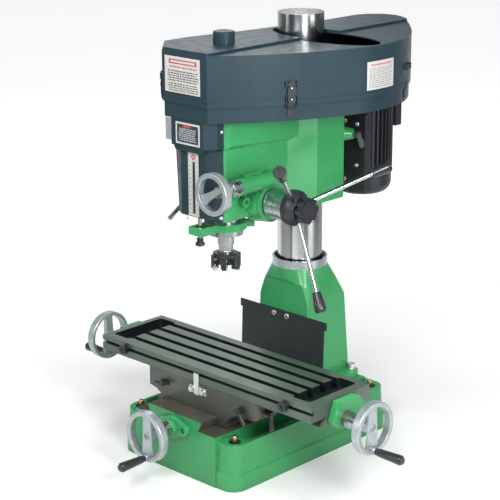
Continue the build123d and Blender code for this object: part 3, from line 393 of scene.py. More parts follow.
def bracket_nose(g):
    """Mask of the turned steel collar round each table bracket's bearing nose."""
    x, y, z = (g.axis(letter) for letter in "XYZ")
    across = g.calc("SUBTRACT", y, NOSE_Y)
    up = g.calc("SUBTRACT", z, NOSE_Z)
    reach = g.calc("SQRT", g.calc("ADD", g.calc("MULTIPLY", across, across), g.calc("MULTIPLY", up, up)))
    out = g.calc("ABSOLUTE", g.calc("SUBTRACT", x, TABLE_X))
    return both(g, g.calc("LESS_THAN", reach, NOSE_R), g.calc("GREATER_THAN", out, NOSE_OUT))


GREEN = (0.040, 0.315, 0.105)
SKIN = {
    "green": enamel("green_enamel", GREEN),
    # the base's green is a darker copy of the same paint: painted shade, as less light reaches the base
    "base": enamel("green_base_in_shade", shade(GREEN, 0.84), base_ways),
    "bracket": enamel("green_bracket", GREEN, bracket_nose),
    "guard": moulded("guard_plastic", (0.0175, 0.037, 0.048), 0.37, 420.0, 0.00012, 1.15, 0.22),
    "table": ground("ground_table", (0.125, 0.165, 0.135), (0.09, 0.12, 0.10), 0.34, (0.06, 1, 1),
                    table_hollows),
    "saddle": ground("ground_saddle", (0.13, 0.145, 0.125), (0.085, 0.09, 0.078), 0.38, (0.08, 1, 1)),
    "column": bright("column_steel", (0.66, 0.69, 0.67), 0.2, (1, 1, 0.02), 0.1, red_line, painted_column_reflections),
    "collar": bright("collar_steel", (0.42, 0.47, 0.48), 0.26, (1, 1, 0.05), 0.15),
    "drum": bright("drum_steel", (0.44, 0.49, 0.51), 0.3, (0.02, 1, 1), 0.05),
    "zinc": bright("zinc_steel", (0.70, 0.72, 0.70), 0.42, (1, 1, 1), 0.2),
    "gun": black_steel("gun_metal", (0.11, 0.13, 0.13), 0.3),
    "chrome": bright("plated_steel", (0.52, 0.545, 0.55), 0.18),
    "turned": bright("turned_steel", (0.50, 0.53, 0.55), 0.24, (1, 0.1, 0.1)),
    "alloy": cast_metal("cast_aluminium", (0.40, 0.445, 0.455), 0.34, 0.65),
    "iron": cast_metal("black_casting", (0.022, 0.025, 0.03), 0.4, 0.2),
    "oxide": black_steel("blackened_steel", (0.03, 0.032, 0.035), 0.38),
    "plastic": moulded("black_plastic", (0.012, 0.014, 0.017), 0.25, 900.0, 0.00004, 1.6),
    "rubber": moulded("sheet_rubber", (0.014, 0.020, 0.021), 0.55, 300.0, 0.00015, 1.4),
    "brass": bright("brass", (0.55, 0.36, 0.16), 0.3),
    "white": printed("label_white", (0.56, 0.555, 0.52)),
    "ink": printed("label_ink", (0.012, 0.014, 0.018)),
    "grey": printed("label_grey", (0.06, 0.062, 0.06)),
    "pale": printed("label_pale", (0.42, 0.46, 0.48)),
    "faint": printed("label_faint", (0.20, 0.20, 0.26)),
    "pink": printed("label_pink", (0.45, 0.07, 0.10)),
    "blush": printed("label_blush", (0.50, 0.22, 0.27)),
    "red": printed("label_red", (0.55, 0.06, 0.05)),
    "dark": printed("label_dark", (0.03, 0.04, 0.05), 0.35),
    "floor": paper(),
}

FINISH = {
    "green": "pedestal y_screw_bracket head_casting depth_stop_bracket",
    "base": "base_casting",
    "bracket": "table_brackets",
    "guard": "front_cover belt_pan belt_lid drawbar_cap",
    "table": "table",
    "saddle": "saddle",
    "column": "column",
    "collar": "column_ring column_rack quill",
    "chrome": "quill_lock depth_stop_rod spindle feed_levers",
    "zinc": "pedestal_bolts centre_stop switch_box",
    "drum": "pinion_shaft",
    "gun": "tension_lever",
    "turned": "x_leadscrew y_leadscrew fine_feed_worm idler_arm",
    "alloy": "y_handwheel x_handwheels fine_feed_wheel spindle_pulley idler_pulley motor_rotor",
    "iron": "motor_plate motor motor_fan_cover motor_terminal_box feed_hub",
    "oxide": "anchor_bolts table_lock_left table_lock_right saddle_lock table_stop_left table_stop_right"
             " elevating_crank depth_stop_knob drawbar face_mill latch_right latch_rear latch_left",
    "plastic": "y_grip x_grip_right x_grip_left feed_grips star_knob",
    "rubber": "chip_guard belts",
}
# edge radius in millimetres of each node that needs other than the usual one
ROUND = {"base_casting": 3.0, "pedestal": 3.0, "head_casting": 2.2, "belt_lid": 2.4, "belt_pan": 1.5,
         "front_cover": 1.5, "table_brackets": 1.2, "y_screw_bracket": 2.0, "depth_stop_bracket": 1.5,
         "table": 0.5, "saddle": 0.8, "x_handwheels": 1.5, "y_handwheel": 1.5, "fine_feed_wheel": 1.5,
         "motor": 0.5, "star_knob": 1.2, "feed_hub": 1.2}
USUAL_ROUND = 0.4
# smallest fold that is rounded, in degrees; castings with shallow folds need a smaller one
FOLD = 24
SHALLOW_FOLD = 13
SHALLOW = "head_casting pedestal front_cover belt_lid belt_pan table_brackets".split()


TOUCHING = 1e-6  # metres between vertices that are one
# in degrees: a fold below the first counts as flat, one above the second is not smoothed
FLAT_FOLD, CRISP_FOLD = 0.6, 30


def soften(obj, radius, fold=FOLD):
    """Round a faceted piece's edges and keep its flats flat, without touching its base mesh."""
    weld = obj.modifiers.new("weld", "WELD")
    weld.merge_threshold = TOUCHING
    flat = obj.modifiers.new("flat", "DECIMATE")
    flat.decimate_type = "DISSOLVE"
    flat.angle_limit = radians(FLAT_FOLD)
    bevel = obj.modifiers.new("round", "BEVEL")
    bevel.width = radius * MM
    bevel.segments = 2
    bevel.limit_method = "ANGLE"
    bevel.angle_limit = radians(fold)
    bevel.use_clamp_overlap = True
    bevel.harden_normals = False
    crisp = obj.modifiers.new("crisp", "EDGE_SPLIT")
    crisp.split_angle = radians(CRISP_FOLD)
    even = obj.modifiers.new("even", "WEIGHTED_NORMAL")
    even.mode = "FACE_AREA"
    even.weight = 100  # large faces decide
    even.thresh = 0.01


def smooth(mesh):
    """Shade smoothly, with normals worked out anew by the modifiers."""
    if "custom_normal" in mesh.attributes:
        mesh.attributes.remove(mesh.attributes["custom_normal"])
    mesh.polygons.foreach_set("use_smooth", [True] * len(mesh.polygons))


def dress_cad():
    """Material and rounded edges for each CAD node."""
    for skin, names in FINISH.items():
        for name in names.split():
            obj = NODES[name]
            obj.data.materials.clear()
            obj.data.materials.append(SKIN[skin])
            smooth(obj.data)
            soften(obj, ROUND.get(name, USUAL_ROUND), SHALLOW_FOLD if name in SHALLOW else FOLD)


# ---------------------------------------------------------------- pieces made of mesh
def frame_at(origin, out, across):
    """Local frame in millimetres: +Z points out, +X lies across."""
    z = Vector(out).normalized()
    x = (Vector(across) - z * z.dot(Vector(across))).normalized()
    rows = Matrix((x, z.cross(x), z)).transposed().to_4x4()
    return Matrix.Translation(origin) @ rows


class Piece:
    """One visible piece, gathered from simple shapes given in millimetres."""

    def __init__(self, name, body, slot):
        self.name, self.body, self.slot = name, body, slot
        self.mesh = bmesh.new()
        self.skins = []

    def loft(self, rings, skin, closed=False):
        """Skin over rings of equal length; closed joins the last ring to the first."""
        if skin not in self.skins:
            self.skins.append(skin)
        rows = [[self.mesh.verts.new(Vector(p) * MM) for p in ring] for ring in rings]
        count = len(rows[0])
        made = []
        pairs = list(zip(rows, rows[1:])) + ([(rows[-1], rows[0])] if closed else [])
        for a, b in pairs:
            for i in range(count):
                j = (i + 1) % count
                made.append(self.mesh.faces.new((a[i], a[j], b[j], b[i])))
        if not closed:
            made.append(self.mesh.faces.new(rows[0][::-1]))
            made.append(self.mesh.faces.new(rows[-1]))
        for face in made:
            face.material_index = self.skins.index(skin)

    def prism(self, frame, outline, low, high, skin):
        """Raise an outline from one height to another."""
        self.loft([[frame @ Vector((x, y, z)) for x, y in outline] for z in (low, high)], skin)

    def block(self, frame, x, y, z, skin):
        """Box between the two values of each axis."""
        outline = [(x[0], y[0]), (x[1], y[0]), (x[1], y[1]), (x[0], y[1])]
        self.prism(frame, outline, z[0], z[1], skin)

    def lathe(self, frame, profile, skin, steps, closed=False):
        """Turn (radius, height) points about the frame's Z axis."""
        turns = [2 * pi * k / steps for k in range(steps)]
        rings = [[frame @ Vector((r * cos(t), r * sin(t), z)) for t in turns] for r, z in profile]
        self.loft(rings, skin, closed)

    def tube(self, points, radius, skin, steps):
        """Round wire along a path."""
        points = [Vector(p) for p in points]
        side = None
        rings = []
        for i, p in enumerate(points):
            run = (points[min(i + 1, len(points) - 1)] - points[max(i - 1, 0)]).normalized()
            if side is None:
                side = run.orthogonal().normalized()
            side = (side - run * side.dot(run)).normalized()
            up = run.cross(side)
            rings.append([p + radius * (cos(2 * pi * k / steps) * side + sin(2 * pi * k / steps) * up)
                          for k in range(steps)])
        self.loft(rings, skin)

    def screw(self, frame, radius, height, skin, socket=0.0, slot_half=0.0):
        """Domed screw head with a hexagon socket, or a driver slot drawn as a dark bar of painted shade,
        standing on the frame's plane.
        """
        top = [(radius, 0), (radius, height * 0.55), (radius * 0.8, height * 0.9)]
        if socket:
            top += [(socket, height), (socket * 0.98, height * 0.35)]
        else:
            top += [(radius * 0.4, height)]
        self.lathe(frame, top, skin, 24)
        # the driver slot is a dark bar on the head: painted shade in the slot
        if slot_half:
            self.block(frame, (-radius * 0.9, radius * 0.9), (-slot_half, slot_half),
                       (height * 0.98, height * 1.03), "ink")

    def done(self, radius, replaces=()):
        """Make the object, round its edges and put it on its body."""
        bmesh.ops.recalc_face_normals(self.mesh, faces=self.mesh.faces)
        mesh = bpy.data.meshes.new(self.name)
        self.mesh.to_mesh(mesh)
        self.mesh.free()
        obj = bpy.data.objects.new(self.name, mesh)
        SCENE.collection.objects.link(obj)
        for skin in self.skins:
            mesh.materials.append(SKIN[skin])
        smooth(mesh)
        soften(obj, radius)
        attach(obj, self.body)
        for node in replaces:
            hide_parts(node)


# ---------------------------------------------------------------- handwheels
WHEEL_R, FINE_R = 63.5, 51.0
GRIP_AT = 54.5
RIM_W, RIM_T = 21.0, 12.0
HUB_R, BORE, FINE_BORE = 14.5, 7.2, 6.2


def wheel_rim(p, frame, r):
    """Deep rim: flat front band with small chamfers, straight outside and slightly tapered inside."""
    half = RIM_W / 2
    inner = r - RIM_T
    section = [(r - 0.6, -half + 1.2), (r, -half + 2.6), (r, half - 2.4), (r - 0.8, half - 0.8),
               (r - 2.4, half), (inner + 1.8, half), (inner + 0.4, half - 0.8), (inner, half - 2.2),
               (inner + 2.6, -half + 1.4), (inner + 3.6, -half), (r - 2.2, -half)]
    p.lathe(frame, section, "alloy", 96, closed=True)


def wheel_arm(p, frame, r, wide):
    """Cross bar: a flat web sunk below the rim's face, flaring towards the handle's end."""
    rings = []
    reach = r - RIM_T + 3
    for t in (-1, -0.86, -0.7, -0.45, 0, 0.5, 0.8, 1):
        flare = wide - 3 * t + 9 * max(0, -t - 0.55) + 5 * max(0, t - 0.8)
        rings.append([frame @ Vector((x, t * reach, z)) for x, z in
                      ((-flare + 2, -6), (flare - 2, -6), (flare, -4), (flare, 1.5), (flare - 1.4, 3),
                       (-flare + 1.4, 3), (-flare, 1.5), (-flare, -4))])
    p.loft(rings, "alloy")


def wheel_hub(p, frame, bore, back, faced):
    """Hub running back to the dial; faced hubs have a raised lip round a sunk socket screw."""
    section = [(HUB_R, -back + 2), (HUB_R, -14)]
    if faced:
        section += [(16, -6), (16, 0), (12, 2.6), (10.2, 2.6), (9.8, 5), (8.0, 5.6), (6.4, 5), (6.0, 1.2)]
    else:
        section += [(9, -6), (8, -4)]
    section += [(bore - 0.4, section[-1][1] - 0.2), (bore - 0.4, -back + 2)]
    p.lathe(frame, section, "alloy", 64, closed=True)
    p.lathe(frame, [(bore - 0.3, -back + 4), (bore - 0.3, -1)], "turned", 48)
    if faced:
        p.screw(frame @ Matrix.Translation((0, 0, 0.6)), 5.4, 3.0, "gun", socket=2.6)


def wheel_dial(p, frame, back, r, length):
    """Engine-divided collar with a knurled grip ring and a thumb screw."""
    marks, ridges = 50, 60
    low, top = -back, -back + length
    p.lathe(frame, [(r - 3, low + 0.5), (r + 1.2, low + 0.5), (r + 1.2, low + 5), (r - 0.6, low + 5.4),
                    (r, low + 6.2), (r, top - 9), (r - 1, top - 8.6), (r - 1, top - 7.4), (r, top - 7),
                    (r, top - 1), (r - 1, top), (13, top), (13, low + 0.5)], "collar", 96, closed=True)
    for k in range(marks):
        turn = frame @ Matrix.Rotation(2 * pi * k / marks, 4, "Z")
        long = 7.0 if k % 5 == 0 else 4.0
        p.block(turn, (r - 0.4, r + 0.06), (-0.22, 0.22), (low + 6.2, low + 6.2 + long), "ink")
    for k in range(ridges):
        turn = frame @ Matrix.Rotation(2 * pi * k / ridges, 4, "Z")
        p.block(turn, (r - 0.6, r + 0.35), (-0.45, 0.45), (top - 6.4, top - 1.6), "collar")
    knob = frame @ Matrix.Rotation(0.9, 4, "Z") @ Matrix.Translation((0, 0, top - 11)) \
        @ Matrix.Rotation(pi / 2, 4, "Y")
    p.lathe(knob, [(2, r - 4), (2, r + 1.5), (3.4, r + 2), (3.4, r + 6), (2.6, r + 6.8)], "oxide", 20)


def handwheel(name, body, frame, bore, back, replaces, r=WHEEL_R, dial=(19.0, 27.0), grip=True):
    """Whole wheel on its frame: rim, arm, hub running back to its graduated dial, and the handle's pin.

    back is the hub's length behind the rim's middle, dial the radius and length of the dial."""
    p = Piece(name, body, "cast_aluminium")
    wheel_rim(p, frame, r)
    wheel_arm(p, frame, r, 15.0 if grip else 8.5)
    wheel_hub(p, frame, bore, back, grip)
    wheel_dial(p, frame, back, *dial)
    if grip:
        pin = frame @ Matrix.Translation((0, -GRIP_AT, 0))
        p.lathe(pin, [(8.6, -8), (9, -6), (9, 10), (7.6, 12)], "alloy", 40)
        p.lathe(pin, [(4.3, 11), (4.3, 86)], "chrome", 24)
        p.screw(pin @ Matrix.Translation((0, 0, 86.5)), 4.6, 2.6, "chrome", slot_half=0.6)
    p.done(0.8, [replaces])


def handwheels():
    right = frame_at((495, TABLE_SCREW_Y, TABLE_SCREW_Z), RIGHT, (0, 1, 0))
    left = frame_at((-418, TABLE_SCREW_Y, TABLE_SCREW_Z), LEFT, FRONT)
    front = frame_at((0, -381, CROSS_SCREW_Z), FRONT, RIGHT)
    fine = frame_at((FINE_X, -243, FINE_Z), FRONT, (0.515, 0, -0.857))
    handwheel("wheel_right", "table_screw", right, BORE, 66.7, "x_handwheels")
    handwheel("wheel_left", "table_screw", left, BORE, 71.7, "x_handwheels")
    handwheel("wheel_front", "cross_screw", front, BORE, 62.7, "y_handwheel")
    handwheel("wheel_fine", "fine_feed", fine, FINE_BORE, 79.7, "fine_feed_wheel", FINE_R, (19.5, 28.0),
              False)


def shafts():
    """Screws and the fine-feed shaft, ending flush in their wheels, with the thread cut where it works."""
    full, root, neck = 8, 6.9, 6.6  # radii: outside, bottom of the thread, end in the wheel
    pitch = 5

    def shaft(name, body, frame, collars, thread, node):
        """collars starts with the shaft's own two ends and the radius of its first one."""
        p = Piece(name, body, "ground_steel")
        low, high, slim = collars[0]
        profile = [(slim, low), (full, low + 1)]
        for z0, z1, r in collars[1:]:
            profile += [(full, z0), (r, z0 + 0.3), (r, z1 - 0.3), (full, z1)]
        for z in range(*thread, pitch):
            profile += [(full, z), (full, z + 1.2), (root, z + 1.8), (root, z + 2.8), (full, z + 3.4)]
        profile.sort(key=lambda point: point[1])
        p.lathe(frame, profile + [(full, high - 18), (neck, high - 17), (neck, high)], "turned", 32)
        p.done(0.1, [node])

    shaft("table_shaft", "table_screw", frame_at((0, TABLE_SCREW_Y, TABLE_SCREW_Z), RIGHT, (0, 1, 0)),
          [(-418, 495, 6.6), (-345.5, -319, 10), (398, 427.5, 10)], (-300, 380), "x_leadscrew")
    shaft("cross_shaft", "cross_screw", frame_at((0, 0, CROSS_SCREW_Z), FRONT, RIGHT),
          [(-40, 379, 8), (292, 317.5, 11)], (-30, 280), "y_leadscrew")
    shaft("fine_shaft", "fine_feed", frame_at((FINE_X, 0, FINE_Z), FRONT, RIGHT),
          [(62, 242, 8)], (64, 76), "fine_feed_worm")


# ---------------------------------------------------------------- cutter
def cutter():
    """Indexable face mill: arbor collar, cutter body, six clamped cartridges with carbide tips."""
    p = Piece("cutter", "spindle", "black_oxide")
    up = frame_at((*SPINDLE, 0), UP, RIGHT)
    p.lathe(up, [(6.5, 545), (18, 545), (18.4, 544.6), (18.4, 534), (17.6, 533), (17.6, 531), (18.4, 530),
                 (18.4, 524), (6.5, 524)], "chrome", 72, closed=True)
    p.lathe(up, [(6.5, 524), (29, 524), (31.5, 521), (31.5, 514), (27, 508), (25.5, 499), (24, 496),
                 (17, 495.5), (17, 503), (6.5, 503)], "oxide", 72, closed=True)
    tips = 6
    for k in range(tips):
        turn = up @ Matrix.Rotation(radians(360 // tips * k + 14), 4, "Z")
        p.block(turn, (21, 36.5), (-10, 1.5), (486, 520), "oxide")
        p.prism(turn, [(24, -12.5), (34, -12.5), (35.5, -9.5), (22, -9.5)], 490, 516, "oxide")
        lean = turn @ Matrix.Translation((34.5, 1.5, 489)) @ Matrix.Rotation(radians(8), 4, "Y")
        p.block(lean, (-7.5, 3.2), (0, 3.4), (-8, 5.5), "turned")
        for height in (495, 509):
            side = turn @ Matrix.Translation((30, 1.4, height)) @ Matrix.Rotation(-pi / 2, 4, "X")
            p.screw(side, 3.6, 2.2, "chrome", socket=1.7)
    p.done(0.5, ["face_mill"])


# ---------------------------------------------------------------- latches
# place on the guard's wall, the wall's direction, and how far the lever leans out in degrees
LATCHES = {"latch_right": ((187.5, -79.5), (0.880, -0.475), 0.0),
           "latch_rear": ((237.4, 281.9), (0.911, 0.412), 38.0),
           "latch_left": ((-116.5, -196.0), (-0.719, -0.695), 0.0)}


def latch_wall(at, normal):
    """Frame on the guard's wall with +Y up."""
    wall = frame_at((*at, LATCH_Z), (*normal, 0), (-normal[1], normal[0], 0))
    return wall @ Matrix.Rotation(pi, 4, "Z") if wall.col[1].z < 0 else wall


def latch(name, at, normal, opened):
    """Sheet-metal draw latch: tapered lever with folded sides, wire bail and rivets."""
    p = Piece(name, name, "black_oxide")
    wall = latch_wall(at, normal)
    hinge = Matrix.Translation((0, 20, 4.5))
    lever = wall @ hinge @ Matrix.Rotation(radians(opened), 4, "X") @ Matrix.Translation((0, -20, -4.5))
    p.prism(lever, [(-5.5, 27), (5.5, 27), (7, 12), (9.5, 4), (9.5, -19), (6.5, -25), (-6.5, -25),
                    (-9.5, -19), (-9.5, 4), (-7, 12)], 5.4, 7.0, "iron")
    for side in (-1, 1):
        x = sorted((side * 9.5, side * 8.1))
        p.block(lever, x, (-12, 20), (1.6, 6.2), "iron")
    p.block(lever, (-6.2, 6.2), (-8, 2), (6.9, 8.0), "iron")
    p.tube([lever @ Vector((-10.8, 20, 4.5)), lever @ Vector((10.8, 20, 4.5))], 2.9, "iron", 20)
    loop = [(-13, -6, 5), (-13.2, -20, 5.4), (-12.5, -33, 4.2), (-9, -37, 3.4), (9, -37, 3.4),
            (12.5, -33, 4.2), (13.2, -20, 5.4), (13, -6, 5)]
    p.tube([lever @ Vector(point) for point in loop], 1.4, "iron", 12)
    p.tube([lever @ Vector((-13.6, -6, 5)), lever @ Vector((13.6, -6, 5))], 1.6, "iron", 12)
    for y in (-16, 10):
        p.screw(lever @ Matrix.Translation((0, y, 6.9)), 1.9, 1.0, "zinc", socket=0.7)
    p.done(0.4, [name])


def latches():
    for name, (at, normal, opened) in LATCHES.items():
        latch(name, at, normal, opened)
    p = Piece("latch_hooks", "head", "black_oxide")
    for at, normal, _ in LATCHES.values():
        p.block(latch_wall(at, normal), (-8, 8), (-58, -40), (-3.5, -1.6), "iron")
    p.done(0.4)


# ---------------------------------------------------------------- plates, scales and screws
def dashes(words, start, stop, indent, sizes, gap):
    """Both ends of each short bar in a row that stands for print; words draws the lengths."""
    at = start + words.uniform(0, indent)
    while at < stop:
        long = words.uniform(*sizes)
        yield at, at + long
        at += long + gap


def text_rows(p, frame, x, count, first, pitch, height, skin, words):
    """Rows of dashes from the first row's top down, none passing the right margin x[1]."""
    for k in range(count):
        top = first - k * pitch
        for start, end in dashes(words, x[0], x[1] - 3, 6, (2.5, 9), 2.2):
            p.block(frame, (start, min(end, x[1])), (top - height, top), (0.5, 0.62), skin)


def front_label():
    """Blank notice on the guard's nose: a red heading bar over rows of plain strokes."""
    p = Piece("front_label", "lid", "bright_steel")
    words = random.Random(3)
    at = frame_at((0, -240, 0), FRONT, RIGHT)
    p.block(at, (-66, 55), (932, 1020.5), (0.0, 0.3), "ink")
    p.block(at, (-64, 53), (934, 1018.5), (0.0, 0.5), "white")
    p.block(at, (-50, 42), (1001, 1012), (0.5, 0.62), "pink")
    p.block(at, (-44, 36), (1004, 1009), (0.6, 0.72), "white")
    text_rows(p, at, (-48, 42), 1, 996, 5, 3.4, "pink", words)
    text_rows(p, at, (-56, 46), 5, 986, 5.6, 2.9, "grey", words)
    text_rows(p, at, (-56, 46), 4, 956, 5.2, 2.7, "grey", words)
    p.done(0.15)


def name_plate():
    """Framed plate with a red bar and rows of plain strokes."""
    p = Piece("name_plate", "head", "bright_steel")
    words = random.Random(5)
    at = frame_at((0, -233, 0), FRONT, RIGHT)
    p.block(at, (-38, 42), (812, 864), (0.0, 0.7), "white")
    p.block(at, (-33.5, 37.5), (816.5, 859.5), (0.4, 0.9), "dark")
    p.block(at, (-14, 12), (853, 857.5), (0.9, 1.0), "red")
    rows, first, pitch = 7, 850, 4.4
    for k in range(rows):
        top = first - pitch * k
        for span in dashes(words, -28, 26, 3, (3, 8), 1.8):
            p.block(at, span, (top - 2.4, top), (0.9, 1.0), "pale")
    p.done(0.15)


def depth_scale():
    """White graduated strip with the pointer's slot, a dark sheet of painted shade, and a red zero mark."""
    p = Piece("depth_scale", "head", "bright_steel")
    at = frame_at((0, -215, 0), FRONT, RIGHT)
    low, high = 636, 791
    slot_low, slot_high = 642.5, 768.5
    marks, pitch = 49, 2.6
    p.block(at, (-19.5, 20.5), (low - 2, high + 2), (0.0, 0.25), "ink")
    for x in ((-17, -2.2), (6.2, 18)):
        p.block(at, x, (low, high), (0.0, 0.6), "white")
    for z in ((low, slot_low), (slot_high, high)):
        p.block(at, (-3, 7), z, (0.0, 0.6), "white")
    # painted shade: a dark sheet where the pointer's slot opens
    p.block(at, (-2.2, 6.2), (slot_low, slot_high), (0.0, 0.3), "ink")
    for k in range(marks):  # a long mark and a figure's bar at every fourth
        z = 643 + pitch * k
        long = 6.0 if k % 4 == 0 else 3.0
        p.block(at, (-2.4 - long, -2.4), (z, z + 0.45), (0.6, 0.68), "grey")
        p.block(at, (6.4, 6.4 + long * 0.8), (z, z + 0.45), (0.6, 0.68), "grey")
        if k % 4 == 0:
            p.block(at, (-14, -11), (z - 0.8, z + 1.4), (0.6, 0.68), "ink")
            p.block(at, (13, 15), (z - 0.8, z + 1.4), (0.6, 0.68), "ink")
    p.prism(at, [(-7, 780), (1, 772), (9, 780), (1, 788)], 0.5, 0.8, "red")
    p.prism(at, [(-2.5, 780), (1, 776.5), (4.5, 780), (1, 783.5)], 0.7, 0.95, "white")
    p.done(0.12)


def chart_label():
    """Pulley chart wrapped on the guard's rounded right side."""
    p = Piece("chart_label", "lid", "bright_steel")
    wall = NODES["belt_lid"].data
    tree = BVHTree.FromPolygons([v.co.copy() for v in wall.vertices],
                                [list(f.vertices) for f in wall.polygons])
    words = random.Random(11)
    first, last = 107, 203  # the chart's two ends, along Y

    def at(s, z, lift):
        """Point of the wall a share s of the way across, raised by lift."""
        y = first + (last - first) * s
        hit, normal, _, _ = tree.ray_cast(Vector((600, y, z)) * MM, Vector((-1, 0, 0)))
        return hit / MM + normal * (lift if normal.x > 0 else -lift)

    def patch(s, z, lift, skin):
        """Thin sheet that follows the wall."""
        steps = max(1, round((s[1] - s[0]) * 16))
        rings = []
        for k in range(steps + 1):
            t = s[0] + (s[1] - s[0]) * k / steps
            rings.append([at(t, z[0], -0.3), at(t, z[1], -0.3), at(t, z[1], lift), at(t, z[0], lift)])
        p.loft(rings, skin)

    low, high = 925.6, 993.4
    patch((-0.02, 1.02), (low - 1.8, high + 1.8), 0.3, "ink")
    patch((0, 1), (low, high), 0.6, "white")
    patch((0.12, 0.9), (982.5, 987), 0.7, "blush")
    rows, top_row, pitch = 10, 977, 4.9
    for k in range(rows):
        z = top_row - pitch * k
        for span in dashes(words, 0.07, 0.86, 0.02, (0.04, 0.1), 0.035):
            patch(span, (z - 2.2, z), 0.7, "faint")
    p.done(0.12)


def slotted_screws():
    """Small cheese-head and pan-head screws that hold covers, cast strips and the chip guard."""
    p = Piece("cover_screws", "head", "bright_steel")
    for x, z in ((-18.8, 796), (-20.5, 627.5), (26.1, 627.3)):
        p.screw(frame_at((x, -215, z), FRONT, (1, 0, 0.4)), 3.6, 2.2, "zinc", slot_half=0.45)
    for x, y, z, out in ((64.2, -187.6, 637.6, (0.78, -0.62, 0)), (70.4, -190, 846.5, (1, -0.07, 0)),
                         (69.9, -164.5, 665.8, (1, 0, 0))):
        p.screw(frame_at((x, y, z), out, UP), 4.6, 3.2, "zinc", socket=2.0)
    p.done(0.3)
    q = Piece("chip_guard_screws", "frame", "bright_steel")
    for x in (-28, 16):
        q.lathe(frame_at((x, 94, 309), FRONT, RIGHT), [(3.9, -8), (3.9, 0)], "zinc", 20)
        q.screw(frame_at((x, 94, 309), FRONT, (1, 0, 0.7)), 7.8, 3.6, "zinc", slot_half=0.9)
    q.done(0.4)


def stud_tops():
    """Turned brass-coloured ends of the anchor studs, with a bright washer under each nut."""
    p = Piece("stud_tops", "frame", "bright_steel")
    low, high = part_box("anchor_bolts")
    inset = 14
    for x in (low[0] / MM + inset, high[0] / MM - inset):
        for y in (low[1] / MM + inset, high[1] / MM - inset):
            at = frame_at((x, y, high[2] / MM), UP, RIGHT)
            p.lathe(at, [(6.5, -9.4), (6.5, -0.4), (5.6, 0.9), (2, 1.3)], "brass", 32)
            p.lathe(at, [(14.4, -24.2), (14.4, -21.6), (13.6, -21.1), (7, -21.1)], "turned", 40)
    p.done(0.3)


def drum_rings():
    """Painted shadow ring in the groove, dividing line and bright lip turned on the feed drum."""
    p = Piece("drum_rings", "feed_shaft", "bright_steel")
    at = frame_at((0, DRUM_Y, DRUM_Z), RIGHT, (0, 1, 0))
    # first ring: a dark band of painted shadow in the groove
    for section, skin in (([(36, 110.6), (37.7, 110.6), (37.7, 113.4), (36, 113.4)], "ink"),
                          ([(37, 142), (37.62, 142), (37.62, 142.9), (37, 142.9)], "ink"),
                          ([(37, 114.5), (38.1, 114.8), (38.1, 117), (37, 117.4)], "turned"),
                          ([(40, 165.6), (41.4, 166), (41.4, 172), (40.2, 172.6)], "turned")):
        p.lathe(at, section, skin, 96, closed=True)
    p.done(0.1)


def tension_fittings():
    """Copper washers and screws of the belt-tension slide on the head's right side."""
    p = Piece("slide_screws", "head", "bright_steel")
    for z in (810, 660):
        out = frame_at((81, 238, z), (0.76, 0.65, 0), UP)
        p.lathe(out, [(8.5, -1), (8.5, 1.6), (7, 2)], "brass", 32)
        p.screw(out @ Matrix.Translation((0, 0, 1.8)), 6, 5, "oxide", socket=3)
    p.done(0.4)
    q = Piece("motor_plate_holes", "motor_carriage", "black_cast")
    hole = frame_at((101, 308, 746), RIGHT, UP)
    # a black disc: painted shade in the hole of the motor plate
    q.lathe(hole, [(4.2, -0.5), (4.2, 0.15), (3.0, 0.25)], "ink", 24)
    for z in (683, 790):
        q.screw(frame_at((75, 292, z), FRONT, RIGHT), 6, 4, "zinc", socket=2.6)
    q.done(0.2)


# ---------------------------------------------------------------- stage
# the photo's camera, solved from the machine's straight edges
EYE = (2.594, -2.702, 1.636)
YAW, PITCH, ROLL = 44.09, 16.81, -0.274
LENS, SENSOR = 112.87, 36.0
ROOM_LIGHT = 0.62
# name, place, aim, size and power of each light, and which surfaces don't see it
LIGHTS = (
    ("key", (1.15, -2.35, 2.3), (0.1, 0, 0.75), (1.1, 1.1), 52, ""),
    ("side", (1.75, -0.75, 1.25), (0.08, 0.05, 0.75), (0.6, 0.6), 33, ""),
    ("fill", (-1.9, -3.2, 1.5), (0, 0, 0.45), (0.7, 1.8), 17, ""),
    ("top", (0.3, -0.2, 3.4), (0, 0, 0.6), (2.0, 2.0), 62, "glossy"),
    ("back", (-2.6, 2.4, 2.6), (0, 0, 0.8), (1.2, 1.2), 14, ""),
    ("sheen", (2.2, 0.55, 0.3), (0.05, 0, 0.75), (1.0, 1.2), 11, "diffuse"),
)


def look(eye, yaw, pitch, roll):
    """Camera matrix from its place and its heading, in degrees."""
    turn = Matrix.Rotation(radians(yaw), 4, "Z") @ Matrix.Rotation(radians(90 - pitch), 4, "X")
    return Matrix.Translation(eye) @ turn @ Matrix.Rotation(radians(roll), 4, "Z")


def camera():
    """The photo's view."""
    data = bpy.data.cameras.new("camera")
    data.lens = LENS
    data.sensor_width = SENSOR
    data.clip_end = 100.0
    obj = bpy.data.objects.new("camera", data)
    SCENE.collection.objects.link(obj)
    obj.matrix_world = look(EYE, YAW, PITCH, ROLL)
    SCENE.camera = obj


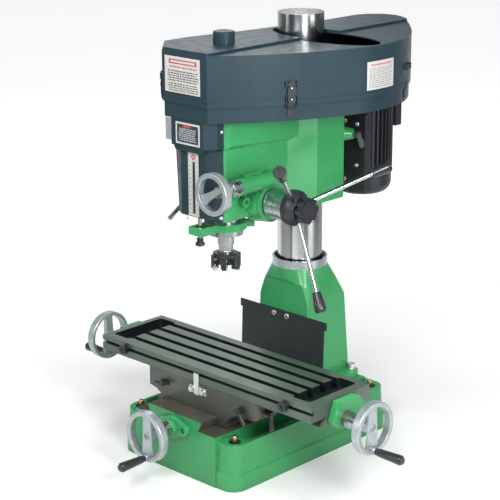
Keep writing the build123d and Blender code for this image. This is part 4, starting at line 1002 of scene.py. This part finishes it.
def area_light(name, at, aim, size, power, hidden):
    """Soft box aimed at a point; hidden says whether matt or shiny surfaces don't see it."""
    data = bpy.data.lights.new(name, "AREA")
    data.shape = "RECTANGLE"
    data.size, data.size_y = size
    data.energy = power
    obj = bpy.data.objects.new(name, data)
    SCENE.collection.objects.link(obj)
    turn = (Vector(aim) - Vector(at)).to_track_quat("-Z", "Y").to_matrix().to_4x4()
    obj.matrix_world = Matrix.Translation(at) @ turn
    obj.visible_camera = False
    obj.visible_diffuse = hidden != "diffuse"
    obj.visible_glossy = hidden != "glossy"


def studio():
    """Round room of light and dark upright bands, so that turned steel shows them softly."""
    world = bpy.data.worlds.new("studio")
    SCENE.world = world
    world.use_nodes = True
    tree = world.node_tree
    sky = tree.nodes["Background"]
    way = tree.nodes.new("ShaderNodeTexCoord")
    flat = tree.nodes.new("ShaderNodeVectorMath")
    flat.operation = "MULTIPLY"
    flat.inputs[1].default_value = (1, 1, 0)
    unit = tree.nodes.new("ShaderNodeVectorMath")
    unit.operation = "NORMALIZE"
    front = tree.nodes.new("ShaderNodeVectorMath")
    front.operation = "DOT_PRODUCT"
    front.inputs[1].default_value = (0.70, -0.71, 0)
    ramp = tree.nodes.new("ShaderNodeValToRGB")
    set_ramp(ramp.color_ramp, (
        (0.0, 0.55), (0.30, 0.85), (0.40, 0.25), (0.46, 1.0), (0.60, 1.0), (0.66, 0.12), (0.74, 0.62),
        (0.80, 0.5), (0.85, 0.10), (0.93, 0.30), (1.0, 0.16)), (0.97, 0.99, 1.0))
    half = tree.nodes.new("ShaderNodeMapRange")
    half.inputs["From Min"].default_value = -1
    tree.links.new(way.outputs["Generated"], flat.inputs[0])
    tree.links.new(flat.outputs[0], unit.inputs[0])
    tree.links.new(unit.outputs[0], front.inputs[0])
    tree.links.new(front.outputs["Value"], half.inputs["Value"])
    tree.links.new(half.outputs[0], ramp.inputs[0])
    tree.links.new(ramp.outputs[0], sky.inputs["Color"])
    sky.inputs["Strength"].default_value = ROOM_LIGHT


def stage():
    """Room, lights and floor."""
    studio()
    for light in LIGHTS:
        area_light(*light)
    SCENE.view_settings.view_transform = "Standard"
    bpy.ops.mesh.primitive_plane_add(size=60)
    floor = bpy.context.object
    floor.name = "floor"
    floor.data.materials.append(SKIN["floor"])


camera()
stage()
dress_cad()
handwheels()
shafts()
cutter()
front_label()
name_plate()
depth_scale()
chart_label()
slotted_screws()
tension_fittings()
drum_rings()
stud_tops()
latches()
